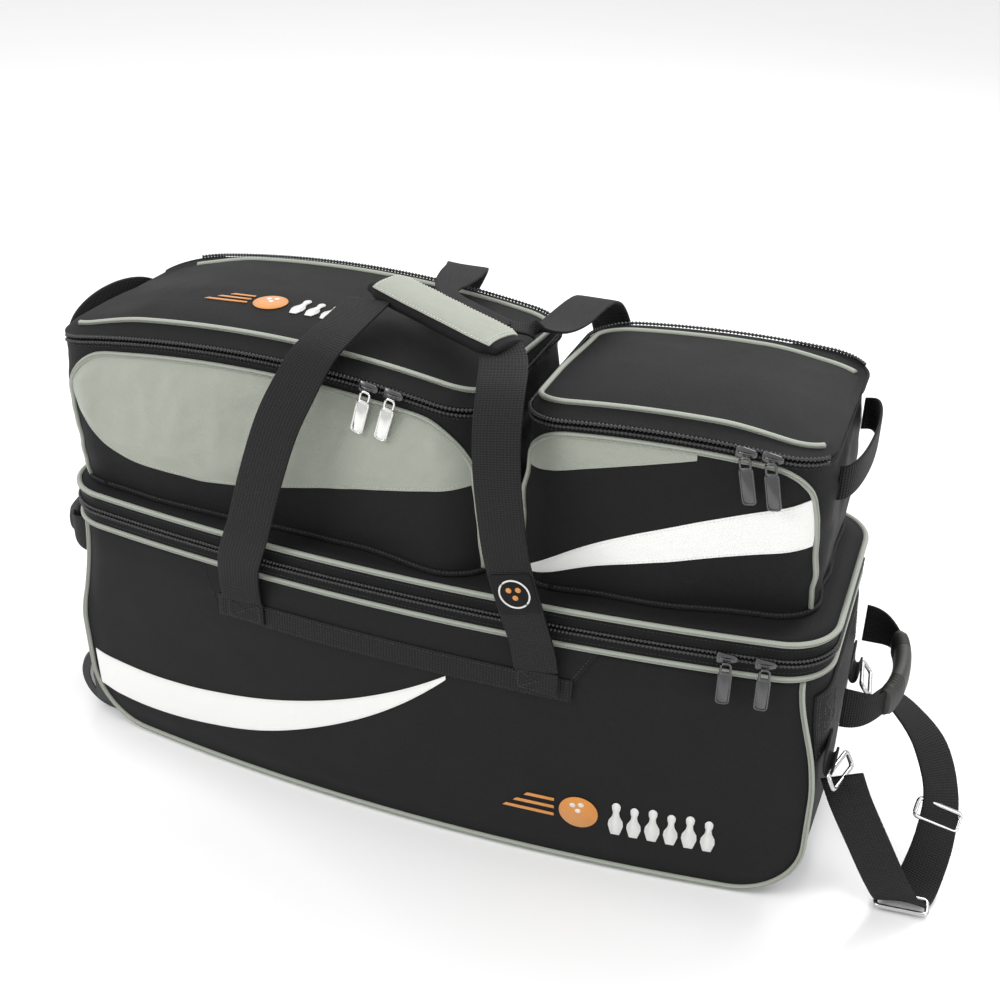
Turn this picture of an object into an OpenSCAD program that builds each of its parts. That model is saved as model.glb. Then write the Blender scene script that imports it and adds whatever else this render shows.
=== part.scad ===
// Three-ball rolling bowling bag: a soft case with a hinged lid that carries two zipped pockets.
// Frame: +X to the right along the bag, -Y to the front, +Z up.
// The origin is under the middle of the bag, on the floor.

/* [Case] */
// Half of the case length at the rim
half_len = 342; // [330:1:350]
// Half of the case depth at the middle of the rim
half_dep = 137; // [130:1:145]
// Radius of the bowed front and back walls, seen from above
bow_r = 2000; // [1600:50:2600]
// Lean of the front and back walls, in degrees
wall_lean = 2.8; // [1:0.1:4]
// Thickness of the padded walls
wall = 5; // [3:0.5:7]
// Corner radius of the rim, seen from above
rim_corner = 45; // [30:1:60]
// Radius of the lower corners of the front panel
foot_corner = 58; // [40:1:70]
// Height of the underside of the fabric floor
floor_z = 4; // [3:0.5:8]
// Height of the seam between the walls and the zip rim
seam_z = 229; // [220:1:235]
// Height of the split between case and lid, which is the zip line
zip_z = 247; // [244:1:250]
// Height of the underside of the lid panel
lid_z = 263; // [260:1:268]
// Thickness of the lid panel
lid_t = 4; // [3:0.5:6]

/* [Ball bays] */
// Diameter of a ball
ball_d = 216; // [210:1:218]
// Distance between the middles of two bays
bay_pitch = 221; // [218:1:224]

/* [Pockets] */
// Radius of the crowned pocket lids
crown_r = 1000; // [700:50:1500]
// Thickness of the pocket walls
pocket_wall = 3; // [2:0.5:5]
// Corner radius of the pockets, seen from above
pocket_corner = 35; // [20:1:45]

/* [Webbing] */
// Width of the carry straps
strap_w = 38; // [30:1:50]
// Thickness of the webbing
web_t = 3; // [2:0.5:4]

/* [Wheels] */
// Wheel radius
wheel_r = 36; // [30:1:40]
// Wheel width
wheel_w = 22; // [18:1:26]
// Distance of the wheel axle behind the middle of the bag
wheel_x = 335; // [325:1:340]
// Axle radius
axle_r = 3; // [2.5:0.5:4]

/* [Zip pulls] */
// Length of a zip pull
pull_len = 38; // [30:1:45]
// Width of a zip pull
pull_w = 11; // [8:1:14]

/* [Hidden] */
$fn = 64;

// Rim outline: two wide arcs joined by four corner arcs that are tangent to them and to the ends.
arc_y = bow_r - half_dep;
corner_x = half_len - rim_corner;
corner_y = arc_y - sqrt(pow(bow_r - rim_corner, 2) - pow(corner_x, 2));
corner_deg = asin(corner_x / (bow_r - rim_corner));
bow_steps = 8;
corner_steps = 7;
split_gap = 0.5;
tape_t = 4;
coil_proud = 3;
cord_w = 2.5;

// Pocket boxes: left, right, front, back, crown middle, panel top, split height and lid top.
left_box = [-333, 56, -112, 112];
left_crown = -150;
left_panel_top = 412;
left_split = 423;
left_top = 434;
right_box = [88, 322, -106, 106];
right_crown = 225;
right_panel_top = 409;
right_split = 416;
right_top = 425;
deck_z = lid_z + lid_t;

// Floor board
board_t = 5;

// Wheels
wheel_y = 77;
hub_r = 26;
run_gap = 0.06;
cheek_t = 3;

// Feet of the carry straps
left_foot_x = -147;
right_foot_x = 120;

// End handles
end_x = half_len + wall;
handle_z = 185;
handle_half = 66;
handle_reach = 44;
handle_pivot = 20;
grip_w = 30;
grip_t = 15;
grip_core_w = 22;

// Zip sliders
slider_l = 16;
slider_in = 3.6;
slider_out = 7.4;
pull_mid = 9.75;
pull_t = 2.5;
main_a_deg = asin(267 / bow_r);
main_b_deg = asin(296 / bow_r);
left_a_x = -33;
left_b_x = -12;
right_a_x = 262;
right_b_x = 281;

function unit(v) = v / norm(v);

// Points of the front half of the rim outline, grown outward by g.
function rim_front(g) = concat(
    [for (i = [0:corner_steps])
        let (a = -90 + (90 - corner_deg) * i / corner_steps)
        [-corner_x + (rim_corner + g) * sin(a), corner_y - (rim_corner + g) * cos(a)]],
    [for (i = [1 - bow_steps:bow_steps - 1])
        let (a = corner_deg * i / bow_steps)
        [(bow_r + g) * sin(a), arc_y - (bow_r + g) * cos(a)]],
    [for (i = [0:corner_steps])
        let (a = corner_deg + (90 - corner_deg) * i / corner_steps)
        [corner_x + (rim_corner + g) * sin(a), corner_y - (rim_corner + g) * cos(a)]]);

function rim_outline(g) = concat(rim_front(g), [for (p = rim_front(g)) -p]);

// A rectangle with rounded corners, as points.
function rounded(box, g, r) = [for (c = [0:3], i = [0:5])
    let (a = 90 * c + 18 * i,
        cx = (c == 1 || c == 2) ? box[0] + r : box[1] - r,
        cy = (c == 2 || c == 3) ? box[2] + r : box[3] - r)
    [cx + (r + g) * cos(a), cy + (r + g) * sin(a)]];

module rim_prism(g, z0, z1) {
    translate([0, 0, z0])
        linear_extrude(z1 - z0)
            polygon(rim_outline(g));
}

// A band that follows the rim from its inner offset g0 to its outer offset g1.
module rim_ring(g0, g1, z0, z1) {
    difference() {
        rim_prism(g1, z0, z1);
        rim_prism(g0, z0 - 1, z1 + 1);
    }
}

// Everything in front of the bowed, leaning front wall, moved inward by g.
module front_of(g) {
    reach = half_len + 60;
    translate([0, -half_dep, zip_z - 17])
        rotate([wall_lean, 0, 0])
            translate([0, 0, -300])
                linear_extrude(600)
                    polygon(concat(
                        [for (i = [-12:12])
                            let (a = asin(reach / bow_r) * i / 12)
                            [bow_r * sin(a), bow_r * (1 - cos(a)) + g]],
                        [[reach, -120], [-reach, -120]]));
}

module back_of(g) {
    mirror([0, 1, 0])
        front_of(g);
}

// A layer on the front wall between two offsets, cut to a shape drawn in the X-Z plane.
module front_layer(g0, g1) {
    difference() {
        intersection() {
            translate([0, -60, 0])
                rotate([90, 0, 0])
                    linear_extrude(100)
                        children();
            front_of(g1);
        }
        front_of(g0);
    }
}

// Outline of the front panel and of the gusset, moved inward by g.
function panel_outline(g) = concat(
    [[-half_len - wall + g, seam_z], [half_len + wall - g, seam_z]],
    [for (i = [0:6])
        let (a = 90 * i / 6)
        [half_len + wall - foot_corner + (foot_corner - g) * cos(a),
            floor_z + foot_corner - (foot_corner - g) * sin(a)]],
    [for (i = [0:6])
        let (a = 90 + 90 * i / 6)
        [-half_len - wall + foot_corner + (foot_corner - g) * cos(a),
            floor_z + foot_corner - (foot_corner - g) * sin(a)]]);

module panel_shape(g) {
    polygon(panel_outline(g));
}

// The four upper corners, where the walls round off to meet the rim.
corner_low_z = 200;

module upper_corners() {
    for (x = [-1, 1], y = [-1, 1])
        translate([x > 0 ? corner_x - 8 : -corner_x - 8 - 80, y > 0 ? -corner_y : corner_y - 80, corner_low_z])
            cube([88, 80, zip_z - corner_low_z]);
}

// The gap that each wheel and its housing take out of the case.
module wheel_wells() {
    for (side = [-1, 1])
        translate([-wheel_x - 60, side * wheel_y - wheel_w / 2 - 4.6, -1])
            cube([60 + 46, wheel_w + 9.2, 84]);
}

module wall_panel() {
    difference() {
        front_layer(0, wall)
            panel_shape(0);
        upper_corners();
    }
}

module case_front_panel() {
    color("#1e1e1e")
        wall_panel();
}

module case_back_panel() {
    color("#1e1e1e")
        mirror([0, 1, 0])
            wall_panel();
}

// The gusset runs round the ends and under the bag, between the front and back panels.
module gusset() {
    difference() {
        rotate([90, 0, 0])
            translate([0, 0, -half_dep])
                linear_extrude(2 * half_dep)
                    difference() {
                        panel_shape(0);
                        polygon([for (p = panel_outline(wall)) [p[0], p[1] > 200 ? p[1] + 9 : p[1]]]);
                    }
        front_of(wall);
        back_of(wall);
        wheel_wells();
        upper_corners();
    }
}

module gusset_end(side) {
    intersection() {
        gusset();
        translate([side > 0 ? half_len - foot_corner + wall : -half_len - foot_corner - wall, -200, -10])
            cube([foot_corner * 2, 400, 300]);
    }
}

module case_left_end() {
    color("#242424")
        gusset_end(-1);
}

module case_right_end() {
    color("#242424")
        gusset_end(1);
}

module case_bottom() {
    flat_half = half_len + wall - foot_corner;
    color("#242424")
        intersection() {
            gusset();
            translate([foot_corner - half_len - wall, -200, -10])
                cube([2 * flat_half, 400, 60]);
        }
}

module case_rim_tape() {
    color("#202020") {
        rim_ring(-tape_t, 0, seam_z, zip_z - split_gap);
        intersection() {
            rim_ring(-tape_t, 0, corner_low_z, seam_z);
            upper_corners();
        }
    }
}

// One row of the closing zip; it stops at the hinge along the back.
module zip_row(z0, z1) {
    difference() {
        rim_ring(0, coil_proud, z0, z1);
        translate([-500, -corner_y, z0 - 1])
            cube([1000, 200, z1 - z0 + 2]);
    }
}

module case_zip_coil() {
    color("#101010")
        zip_row(zip_z - 4, zip_z - split_gap);
}

// Piping along the rim and round the free edges of the front and back panels.
module case_piping() {
    color("#a5aa9b") {
        rim_ring(0, cord_w, seam_z + 0.5, seam_z + 5.5);
        for (side = [0, 1])
            mirror([0, side, 0])
                difference() {
                    front_layer(-cord_w, 0)
                        difference() {
                            panel_shape(0);
                            polygon([for (p = panel_outline(cord_w * 2))
                                [p[0], p[1] > 200 ? p[1] + 9 : p[1]]]);
                        }
                    upper_corners();
                }
    }
}

module base_board() {
    color("#3b3b3b")
        translate([-272, -92, floor_z + wall])
            cube([556, 184, board_t]);
}

// Three foam rings that keep the balls from rolling.
module ball_cradles() {
    z0 = floor_z + wall + board_t;
    cradle_h = 22;
    outer_r = ball_d / 2 - 24;
    inner_r = outer_r - 12;
    color("#444444")
        for (i = [-1:1])
            difference() {
                translate([i * bay_pitch, 0, z0])
                    cylinder(h = cradle_h, r = outer_r);
                translate([i * bay_pitch, 0, z0 - 1])
                    cylinder(h = cradle_h + 2, r = inner_r);
            }
}

module bay_dividers() {
    z0 = floor_z + wall + board_t;
    color("#303030")
        for (side = [-1, 1])
            translate([side * bay_pitch / 2 - 2, -100, z0])
                cube([4, 200, 150]);
}

// Runners under the floor: the outer faces carry the bag when it stands.
module skid_rails() {
    color("#151515")
        for (y = [-50, 0, 50])
            translate([-265, y - 7, 0])
                cube([550, 14, floor_z]);
}

module wheel_housings() {
    inner_x = -wheel_x + 41;
    top_z = 78;
    color("#1b1b1b")
        for (side = [-1, 1])
            difference() {
                translate([-352, side * wheel_y - wheel_w / 2 - 1.2 - cheek_t, 12])
                    cube([inner_x + cheek_t + 352, wheel_w + 2.4 + 2 * cheek_t, top_z + cheek_t - 12]);
                translate([-400, side * wheel_y - wheel_w / 2 - 1.2, 0])
                    cube([400 + inner_x, wheel_w + 2.4, top_z]);
                translate([-wheel_x, 150, wheel_r])
                    rotate([90, 0, 0])
                        cylinder(h = 300, r = axle_r);
            }
}

// A bolt for each wheel, held by the two cheeks of its housing.
module wheel_axle() {
    reach = wheel_w / 2 + 1.2 + cheek_t;
    color("#9a9a9a")
        for (side = [-1, 1])
            translate([-wheel_x, side * wheel_y + reach, wheel_r])
                rotate([90, 0, 0])
                    cylinder(h = 2 * reach, r = axle_r);
}

module strap_patches() {
    color("#191919")
        for (side = [0, 1])
            mirror([0, side, 0])
                front_layer(-1.5, 0)
                    polygon([[-194, 229], [-180, 181], [138, 175], [169, 229]]);
}

// Ribbed webbing sewn along the foot of each patch, and the sewn ends of the carry straps on it.
module strap_bands() {
    color("#141414")
        for (side = [0, 1])
            mirror([0, side, 0]) {
                front_layer(-3.5, -1.5)
                    polygon([[-178, 204], [-172, 182], [146, 176], [152, 201]]);
                for (x = [left_foot_x, right_foot_x])
                    front_layer(-6.5, -3.5)
                        translate([x - strap_w / 2, 184])
                            square([strap_w, 21]);
            }
}

// A crescent: it rises to the right between two arcs.
module front_swoosh() {
    rise_top = 384;
    rise_foot = 447;
    low_x = -280;
    color("#f3f3f0")
        front_layer(-1, 0)
            polygon(concat(
                [for (x = [-335:25:40])
                    [x, 37 + rise_foot - sqrt(pow(rise_foot, 2) - pow(x - low_x, 2))]],
                [for (x = [40:-25:-335])
                    let (t = (x + 335) / 375)
                    [x, 41 + 37 * (1 - pow(t, 3)) + rise_foot
                        - sqrt(pow(rise_foot, 2) - pow(x - low_x, 2))]]));
}

// Square reinforcements where the end handles are sewn on, and the tabs that hold the strap rings.
module end_patches() {
    color("#161616") {
        for (side = [-1, 1])
            translate([side > 0 ? end_x : -end_x - 1.5, -95, 150])
                cube([1.5, 190, 60]);
        for (y = [-79, 58])
            translate([end_x + 1.5, y - 17, 144])
                cube([3, 34, 14]);
    }
}

module hinge_strip() {
    color("#1a1a1a")
        intersection() {
            rim_ring(0, 1.5, seam_z + 6, zip_z - split_gap);
            translate([-150, 100, 200])
                cube([300, 60, 100]);
        }
}

module wheel_tyre(side) {
    crown = 2;
    color("#2a2a2a")
        translate([-wheel_x, side * wheel_y, wheel_r])
            rotate([90, 0, 0])
                rotate_extrude()
                    polygon([[hub_r, -wheel_w / 2], [wheel_r - crown, -wheel_w / 2],
                        [wheel_r, -wheel_w / 2 + 4], [wheel_r, wheel_w / 2 - 4],
                        [wheel_r - crown, wheel_w / 2], [hub_r, wheel_w / 2]]);
}

module wheel_hub(side) {
    rim_t = 4;
    web = 4;
    boss_r = 8;
    color("#8d8d88")
        translate([-wheel_x, side * wheel_y, wheel_r])
            rotate([90, 0, 0])
                rotate_extrude()
                    polygon([[axle_r + run_gap, -wheel_w / 2], [boss_r, -wheel_w / 2],
                        [boss_r, -web / 2], [hub_r - rim_t, -web / 2],
                        [hub_r - rim_t, -wheel_w / 2 + 1], [hub_r, -wheel_w / 2 + 1],
                        [hub_r, wheel_w / 2 - 1], [hub_r - rim_t, wheel_w / 2 - 1],
                        [hub_r - rim_t, web / 2], [boss_r, web / 2],
                        [boss_r, wheel_w / 2], [axle_r + run_gap, wheel_w / 2]]);
}

module front_wheel_hub() { wheel_hub(-1); }
module front_wheel_tyre() { wheel_tyre(-1); }
module rear_wheel_hub() { wheel_hub(1); }
module rear_wheel_tyre() { wheel_tyre(1); }

module lid_panel() {
    color("#1e1e1e")
        rim_prism(0, lid_z, deck_z);
}

module lid_band() {
    color("#202020")
        rim_ring(-tape_t, 0, zip_z + split_gap, lid_z);
}

module lid_zip_coil() {
    color("#101010")
        zip_row(zip_z + split_gap, zip_z + 4);
}

module lid_piping() {
    color("#a5aa9b")
        rim_ring(0, cord_w, lid_z - 2, lid_z + 3);
}

// A long barrel with its axis along Y, whose highest line is at crown_x and top_z.
module barrel(crown_x, top_z) {
    translate([crown_x, 200, top_z - crown_r])
        rotate([90, 0, 0])
            cylinder(h = 400, r = crown_r, $fn = 240);
}

module pocket_prism(box, g, z0, z1) {
    translate([0, 0, z0])
        linear_extrude(z1 - z0)
            polygon(rounded(box, g, pocket_corner));
}

// A crowned slice of a pocket: between two barrels, and between two plan outlines.
module crowned_ring(box, crown_x, g0, g1, z0, z1) {
    difference() {
        intersection() {
            pocket_prism(box, g1, deck_z, 460);
            barrel(crown_x, z1);
        }
        pocket_prism(box, g0, deck_z - 1, 461);
        barrel(crown_x, z0);
    }
}

module pocket_shell(box, crown_x, split) {
    difference() {
        intersection() {
            pocket_prism(box, 0, deck_z, 460);
            barrel(crown_x, split - split_gap);
        }
        pocket_prism(box, -pocket_wall, deck_z + pocket_wall, 461);
    }
}

module left_pocket_shell() {
    color("#1f1f1f")
        pocket_shell(left_box, left_crown, left_split);
}

module right_pocket_shell() {
    color("#1f1f1f")
        pocket_shell(right_box, right_crown, right_split);
}

// Silver cloth over the top of the left pocket's front: its lower edge sweeps down to the right.
module left_pocket_overlay() {
    color("#a5aa9e")
        intersection() {
            translate([0, left_box[2], 0])
                rotate([90, 0, 0])
                    linear_extrude(1)
                        polygon(concat([[-298, 430]],
                            [for (x = [-298:10:-208]) [x, 301 + 59 * pow((x + 208) / 90, 2)]],
                            [for (x = [-170:44:6]) [x, 301 + 38 * pow((x + 208) / 240, 1.3)]],
                            [[21, 336], [21, 430]]));
            barrel(left_crown, left_panel_top - 5);
        }
}

// Silver wedge at the upper left of the right pocket's front.
module right_pocket_overlay() {
    color("#a5aa9e")
        intersection() {
            translate([0, right_box[2], 0])
                rotate([90, 0, 0])
                    linear_extrude(1)
                        polygon([[123, 364], [150, 372], [185, 386], [222, 404], [222, 430], [123, 430]]);
            barrel(right_crown, right_panel_top - 5);
        }
}

// The pocket's white swoosh carries on the line of the one below.
module pocket_swoosh() {
    color("#f3f3f0")
        translate([0, right_box[2], 0])
            rotate([90, 0, 0])
                linear_extrude(1)
                    polygon(concat(
                        [for (x = [123:20:283]) [x, 273 + 66 * pow((x - 120) / 170, 1.15)]],
                        [for (x = [283:-20:123]) [x, 284 + 96 * pow((x - 120) / 175, 0.9)]]));
}

module pocket_piping() {
    color("#a5aa9b") {
        crowned_ring(left_box, left_crown, 0, cord_w, left_panel_top - 5, left_panel_top);
        crowned_ring(right_box, right_crown, 0, cord_w, right_panel_top - 5, right_panel_top);
    }
}

// Part of a zip row at a pocket's mouth, stopping short of the hinge end.
module pocket_row(box, crown_x, z0, z1, hinge_side) {
    difference() {
        crowned_ring(box, crown_x, 0, coil_proud, z0, z1);
        translate([hinge_side > 0 ? box[1] - 34 : box[0] - 34, -200, 300])
            cube([68, 400, 200]);
    }
}

module pocket_zip_coils() {
    color("#101010") {
        pocket_row(left_box, left_crown, left_split - 4, left_split - split_gap, -1);
        pocket_row(right_box, right_crown, right_split - 4, right_split - split_gap, 1);
    }
}

// A webbing grab loop across the outer end of a pocket.
module end_loop(x, side, z, half, reach) {
    steps = 12;
    width = 28;
    loop = [for (i = [0:steps])
        let (a = 180 * i / steps)
        [[x + side * (1.7 + reach * pow(sin(a), 0.7)), -half * cos(a), z], [0, 0, width]]];
    ribbon(loop, web_t);
}

module pocket_end_loops() {
    color("#141414") {
        end_loop(left_box[0], -1, 373, 74, 18);
        end_loop(right_box[1], 1, 382, 66, 18);
    }
}

module pocket_lid(box, crown_x, split, top) {
    difference() {
        intersection() {
            pocket_prism(box, 0, deck_z, 460);
            barrel(crown_x, top);
        }
        barrel(crown_x, split + split_gap);
        intersection() {
            pocket_prism(box, -pocket_wall, deck_z, 460);
            barrel(crown_x, top - pocket_wall);
        }
    }
}

module left_pocket_lid() {
    color("#1f1f1f")
        pocket_lid(left_box, left_crown, left_split, left_top);
}

module right_pocket_lid() {
    color("#1f1f1f")
        pocket_lid(right_box, right_crown, right_split, right_top);
}

// Zip row and piping of a pocket lid; both end before the hinge seam.
module lid_trim(box, crown_x, split, top, hinge_side) {
    pocket_row(box, crown_x, split + split_gap, split + 4, hinge_side);
    pocket_row(box, crown_x, top - 4.5, top - 0.5, hinge_side);
}

module left_lid_trim() {
    color("#a5aa9b")
        lid_trim(left_box, left_crown, left_split, left_top, -1);
}

module right_lid_trim() {
    color("#a5aa9b")
        lid_trim(right_box, right_crown, right_split, right_top, 1);
}

// A flat strip swept through stations, each a point and the strip's width as a vector.
module ribbon(stations, t) {
    n = len(stations);
    along = [for (i = [0:n - 1]) unit(stations[min(i + 1, n - 1)][0] - stations[max(i - 1, 0)][0])];
    face = [for (i = [0:n - 1]) unit(cross(along[i], stations[i][1])) * t / 2];
    pts = [for (i = [0:n - 1])
        let (p = stations[i][0], u = stations[i][1] / 2, f = face[i])
        each [p + u + f, p - u + f, p - u - f, p + u - f]];
    sides = [for (i = [0:n - 2], j = [0:3])
        let (a = 4 * i + j, b = 4 * i + (j + 1) % 4)
        each [[a, b, b + 4], [a, b + 4, a + 4]]];
    polyhedron(pts, concat([[3, 2, 1], [3, 1, 0]], sides,
        [[4 * n - 4, 4 * n - 3, 4 * n - 2], [4 * n - 4, 4 * n - 2, 4 * n - 1]]));
}

across = [strap_w, 0, 0];

// Routes of the front carry strap's legs, from just above the sewn ends up and over the left pocket.
left_leg = [
    [[left_foot_x, -139, 207], across], [[-147, -142, 228], across], [[-143, -147, 249], across],
    [[-135, -151, 270], across], [[-127, -153, 291], across], [[-113, -153, 338], across],
    [[-98, -149, 385], across], [[-84, -141, 418], across], [[-75, -126, 440], across],
    [[-69, -104, 451], across], [[-67, -70, 455], across], [[-67, -40, 457], across]];
right_leg = [
    [[right_foot_x, -139, 207], across], [[117, -142, 228], across], [[114, -147, 246], across],
    [[107, -152, 276], across], [[97, -154, 314], across], [[90, -154, 362], across],
    [[86, -150, 390], across], [[82, -140, 414], across], [[77, -120, 434], across],
    [[70, -96, 441], across], [[62, -74, 443], across], [[50, -60, 446], across]];

module front_carry_strap() {
    color("#141414") {
        ribbon(left_leg, web_t);
        ribbon(right_leg, web_t);
    }
}

// Padded sleeve that closes round the grips of the carry straps.
wrap_mid = [-3, -39, 453];
wrap_turn = -22;
wrap_tilt = 6;
wrap_len = 145;
wrap_w = 38;
wrap_h = 14;

module handle_wrap() {
    edge = wrap_h / 2;
    color("#a5aa9e")
        translate(wrap_mid)
            rotate([0, wrap_tilt, wrap_turn]) {
                translate([-wrap_len / 2, edge - wrap_w / 2, -edge])
                    cube([wrap_len, wrap_w - wrap_h, wrap_h]);
                for (y = [edge - wrap_w / 2, wrap_w / 2 - edge])
                    translate([-wrap_len / 2, y, 0])
                        rotate([0, 90, 0])
                            cylinder(h = wrap_len, r = edge);
            }
}

// The rear carry strap mirrors the front one; its grip is folded narrow and lies behind the sleeve.
fold_w = 18;
rear_left_leg = [
    [[left_foot_x, 139, 207], across], [[-147, 142, 228], across], [[-142, 147, 249], across],
    [[-132, 151, 270], across], [[-121, 153, 291], across], [[-99, 153, 338], across],
    [[-78, 148, 380], across], [[-62, 139, 410], across], [[-50, 128, 430], across],
    [[-42, 112, 440], across], [[-36, 80, 444], across], [[-32, 50, 446], [30, 0, 0]],
    [[-26, 26, 448], [fold_w * 0.9, fold_w * 0.44, 0]], [[-12, 8, 449], [fold_w * 0.5, fold_w * 0.87, 0]],
    [[14, -9, 449], [fold_w * 0.37, fold_w * 0.93, 0]],
    [[48, -24, 446], [fold_w * 0.3, fold_w * 0.95, 0]]];
rear_right_leg = [
    [[right_foot_x, 139, 207], across], [[117, 142, 228], across], [[114, 147, 246], across],
    [[107, 152, 276], across], [[97, 154, 314], across], [[90, 153, 362], across],
    [[86, 146, 392], across], [[82, 134, 414], across], [[80, 116, 426], across],
    [[78, 90, 430], across], [[77, 40, 433], across], [[76, 4, 438], [30, 0, 0]],
    [[71, -15, 443], [fold_w * 0.8, fold_w * 0.6, 0]],
    [[48.2, -24.1, 446], [fold_w * 0.3, fold_w * 0.95, 0]]];

module rear_carry_strap() {
    color("#141414") {
        ribbon(rear_left_leg, web_t);
        ribbon(rear_right_leg, web_t);
    }
}

// An end handle: webbing that leaves the wall, bends outward and narrows inside a rubber grip.
handle_steps = 16;
grip_from = 4;
function handle_station(side, i, width) =
    let (a = 180 * i / handle_steps)
    [[side * (end_x + 1.9 + handle_reach * pow(sin(a), 0.6)), -handle_half * cos(a), handle_z],
        [0, 0, width]];

function handle_route(side, first, last, width) =
    [for (i = [first:last]) handle_station(side, i, width)];

module handle_webbing(side) {
    last = handle_steps - grip_from;
    route = concat(handle_route(side, 0, grip_from - 1, strap_w),
        handle_route(side, grip_from, last, grip_core_w),
        handle_route(side, last + 1, handle_steps, strap_w));
    color("#161616")
        difference() {
            ribbon(route, web_t);
            difference() {
                translate([side > 0 ? end_x - 5 : -end_x - 5 - 25, -100, 100])
                    cube([35, 200, 160]);
                translate([side * (end_x + 2 + handle_pivot), 100, handle_z])
                    rotate([90, 0, 0])
                        cylinder(h = 200, r = handle_pivot - 0.2);
            }
        }
}

module end_handle_webbing() { handle_webbing(1); }
module left_handle_webbing() { handle_webbing(-1); }

// The grip is rubber moulded over the middle of the webbing.
module handle_grip(side) {
    color("#2d2d2a")
        ribbon(handle_route(side, grip_from, handle_steps - grip_from, grip_w), grip_t);
}

module end_handle_grip() { handle_grip(1); }
module left_handle_grip() { handle_grip(-1); }

// The pull strap hangs from two rings, and lies on the floor at its adjuster.
pull_strap_w = 36;
pull_route = [
    [[364, -79, 128], [0.88, 0, 0.47]], [[375, -83, 106], [0.88, 0, 0.47]],
    [[394, -85, 72], [0.88, 0, 0.47]], [[412, -84, 38], [0.92, 0, 0.39]],
    [[424, -78, 16], [0.99, 0.1, 0.1]], [[433, -64, 7], [1, 0.1, 0]],
    [[440, -44, 12], [0.97, 0.1, -0.2]], [[446, -16, 38], [0.9, 0.2, -0.4]],
    [[444, 8, 68], [0.8, 0.4, -0.4]], [[428, 30, 98], [0.8, 0.5, -0.3]],
    [[402, 46, 118], [0.6, 0.7, -0.3]], [[378, 56, 127], [0.3, 0.9, -0.2]]];

module pull_strap() {
    color("#161616")
        ribbon([for (s = pull_route) [s[0], unit(s[1]) * pull_strap_w]], 2.6);
}

// A flat wire loop, drawn in its own plane.
module wire_loop(w, h, wire) {
    linear_extrude(wire, center = true)
        difference() {
            square([w, h], center = true);
            square([w - 2 * wire, h - 2 * wire], center = true);
        }
}

// Places its children at a point, with their X along one direction and their Y as near another as fits.
module placed(at, x_dir, y_dir) {
    x = unit(x_dir);
    z = unit(cross(x, y_dir));
    y = cross(z, x);
    multmatrix([[x[0], y[0], z[0], at[0]], [x[1], y[1], z[1], at[1]], [x[2], y[2], z[2], at[2]]])
        children();
}

// Two rings that hang in the tabs, and two bars that adjust the strap's length.
module pull_hardware() {
    wire = 4;
    color("#b5b5b5") {
        placed([362, -79, 133], [0.25, 0.97, 0], [0.5, 0, -0.9])
            wire_loop(42, 18, wire);
        placed([364, 58, 133], [-0.1, 0.99, 0], [0.6, 0, -0.8])
            wire_loop(42, 18, wire);
        placed([429, -71, 6], [1, 0.1, 0], [0, 1, 0.1])
            wire_loop(46, 20, wire);
        placed([445, -4, 53], [0.88, 0.28, -0.4], [0, 0.6, 0.8])
            wire_loop(46, 20, wire);
    }
}

// A zip slider standing in front of the coil, drawn at the middle of the front with the zip at z = 0.
module slider_body() {
    color("#6d6d6d")
        translate([-slider_l / 2, -slider_out, -5])
            cube([slider_l, slider_out - slider_in, 10]);
}

// A zip pull that hangs from the slider's front.
module pull_tab(tilt) {
    color("#9c9c98")
        translate([0, -pull_mid, -3])
            rotate([0, tilt, 0])
                difference() {
                    translate([-pull_w / 2, -pull_t / 2, -pull_len + 1.5])
                        cube([pull_w, pull_t, pull_len]);
                    translate([0, 5, -4])
                        rotate([90, 0, 0])
                            cylinder(h = 10, r = 2.5);
                }
}

// Places its children on the rim: a is the turn about the middle of the front arc.
module on_front_arc(a) {
    translate([0, arc_y, zip_z])
        rotate([0, 0, a])
            translate([0, -bow_r, 0])
                children();
}

// Places its children on a pocket's front wall, along the crown through the split line.
module on_pocket(box, crown_x, split, x) {
    translate([crown_x, box[2], split - crown_r])
        rotate([0, asin((x - crown_x) / crown_r), 0])
            translate([0, 0, crown_r])
                children();
}

module main_slider_a() { on_front_arc(main_a_deg) slider_body(); }
module main_slider_b() { on_front_arc(main_b_deg) translate([0, -1.4, 0]) slider_body(); }
module left_slider_a() { on_pocket(left_box, left_crown, left_split, left_a_x) slider_body(); }
module left_slider_b() { on_pocket(left_box, left_crown, left_split, left_b_x) slider_body(); }
module right_slider_a() { on_pocket(right_box, right_crown, right_split, right_a_x) slider_body(); }
module right_slider_b() { on_pocket(right_box, right_crown, right_split, right_b_x) slider_body(); }
module main_pull_a() { on_front_arc(main_a_deg) pull_tab(0); }
module main_pull_b() { on_front_arc(main_b_deg) translate([0, -1.4, 0]) pull_tab(0); }
module left_pull_a() { on_pocket(left_box, left_crown, left_split, left_a_x) pull_tab(8); }
module left_pull_b() { on_pocket(left_box, left_crown, left_split, left_b_x) pull_tab(8); }
module right_pull_a() { on_pocket(right_box, right_crown, right_split, right_a_x) pull_tab(-14); }
module right_pull_b() { on_pocket(right_box, right_crown, right_split, right_b_x) pull_tab(-14); }

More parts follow.
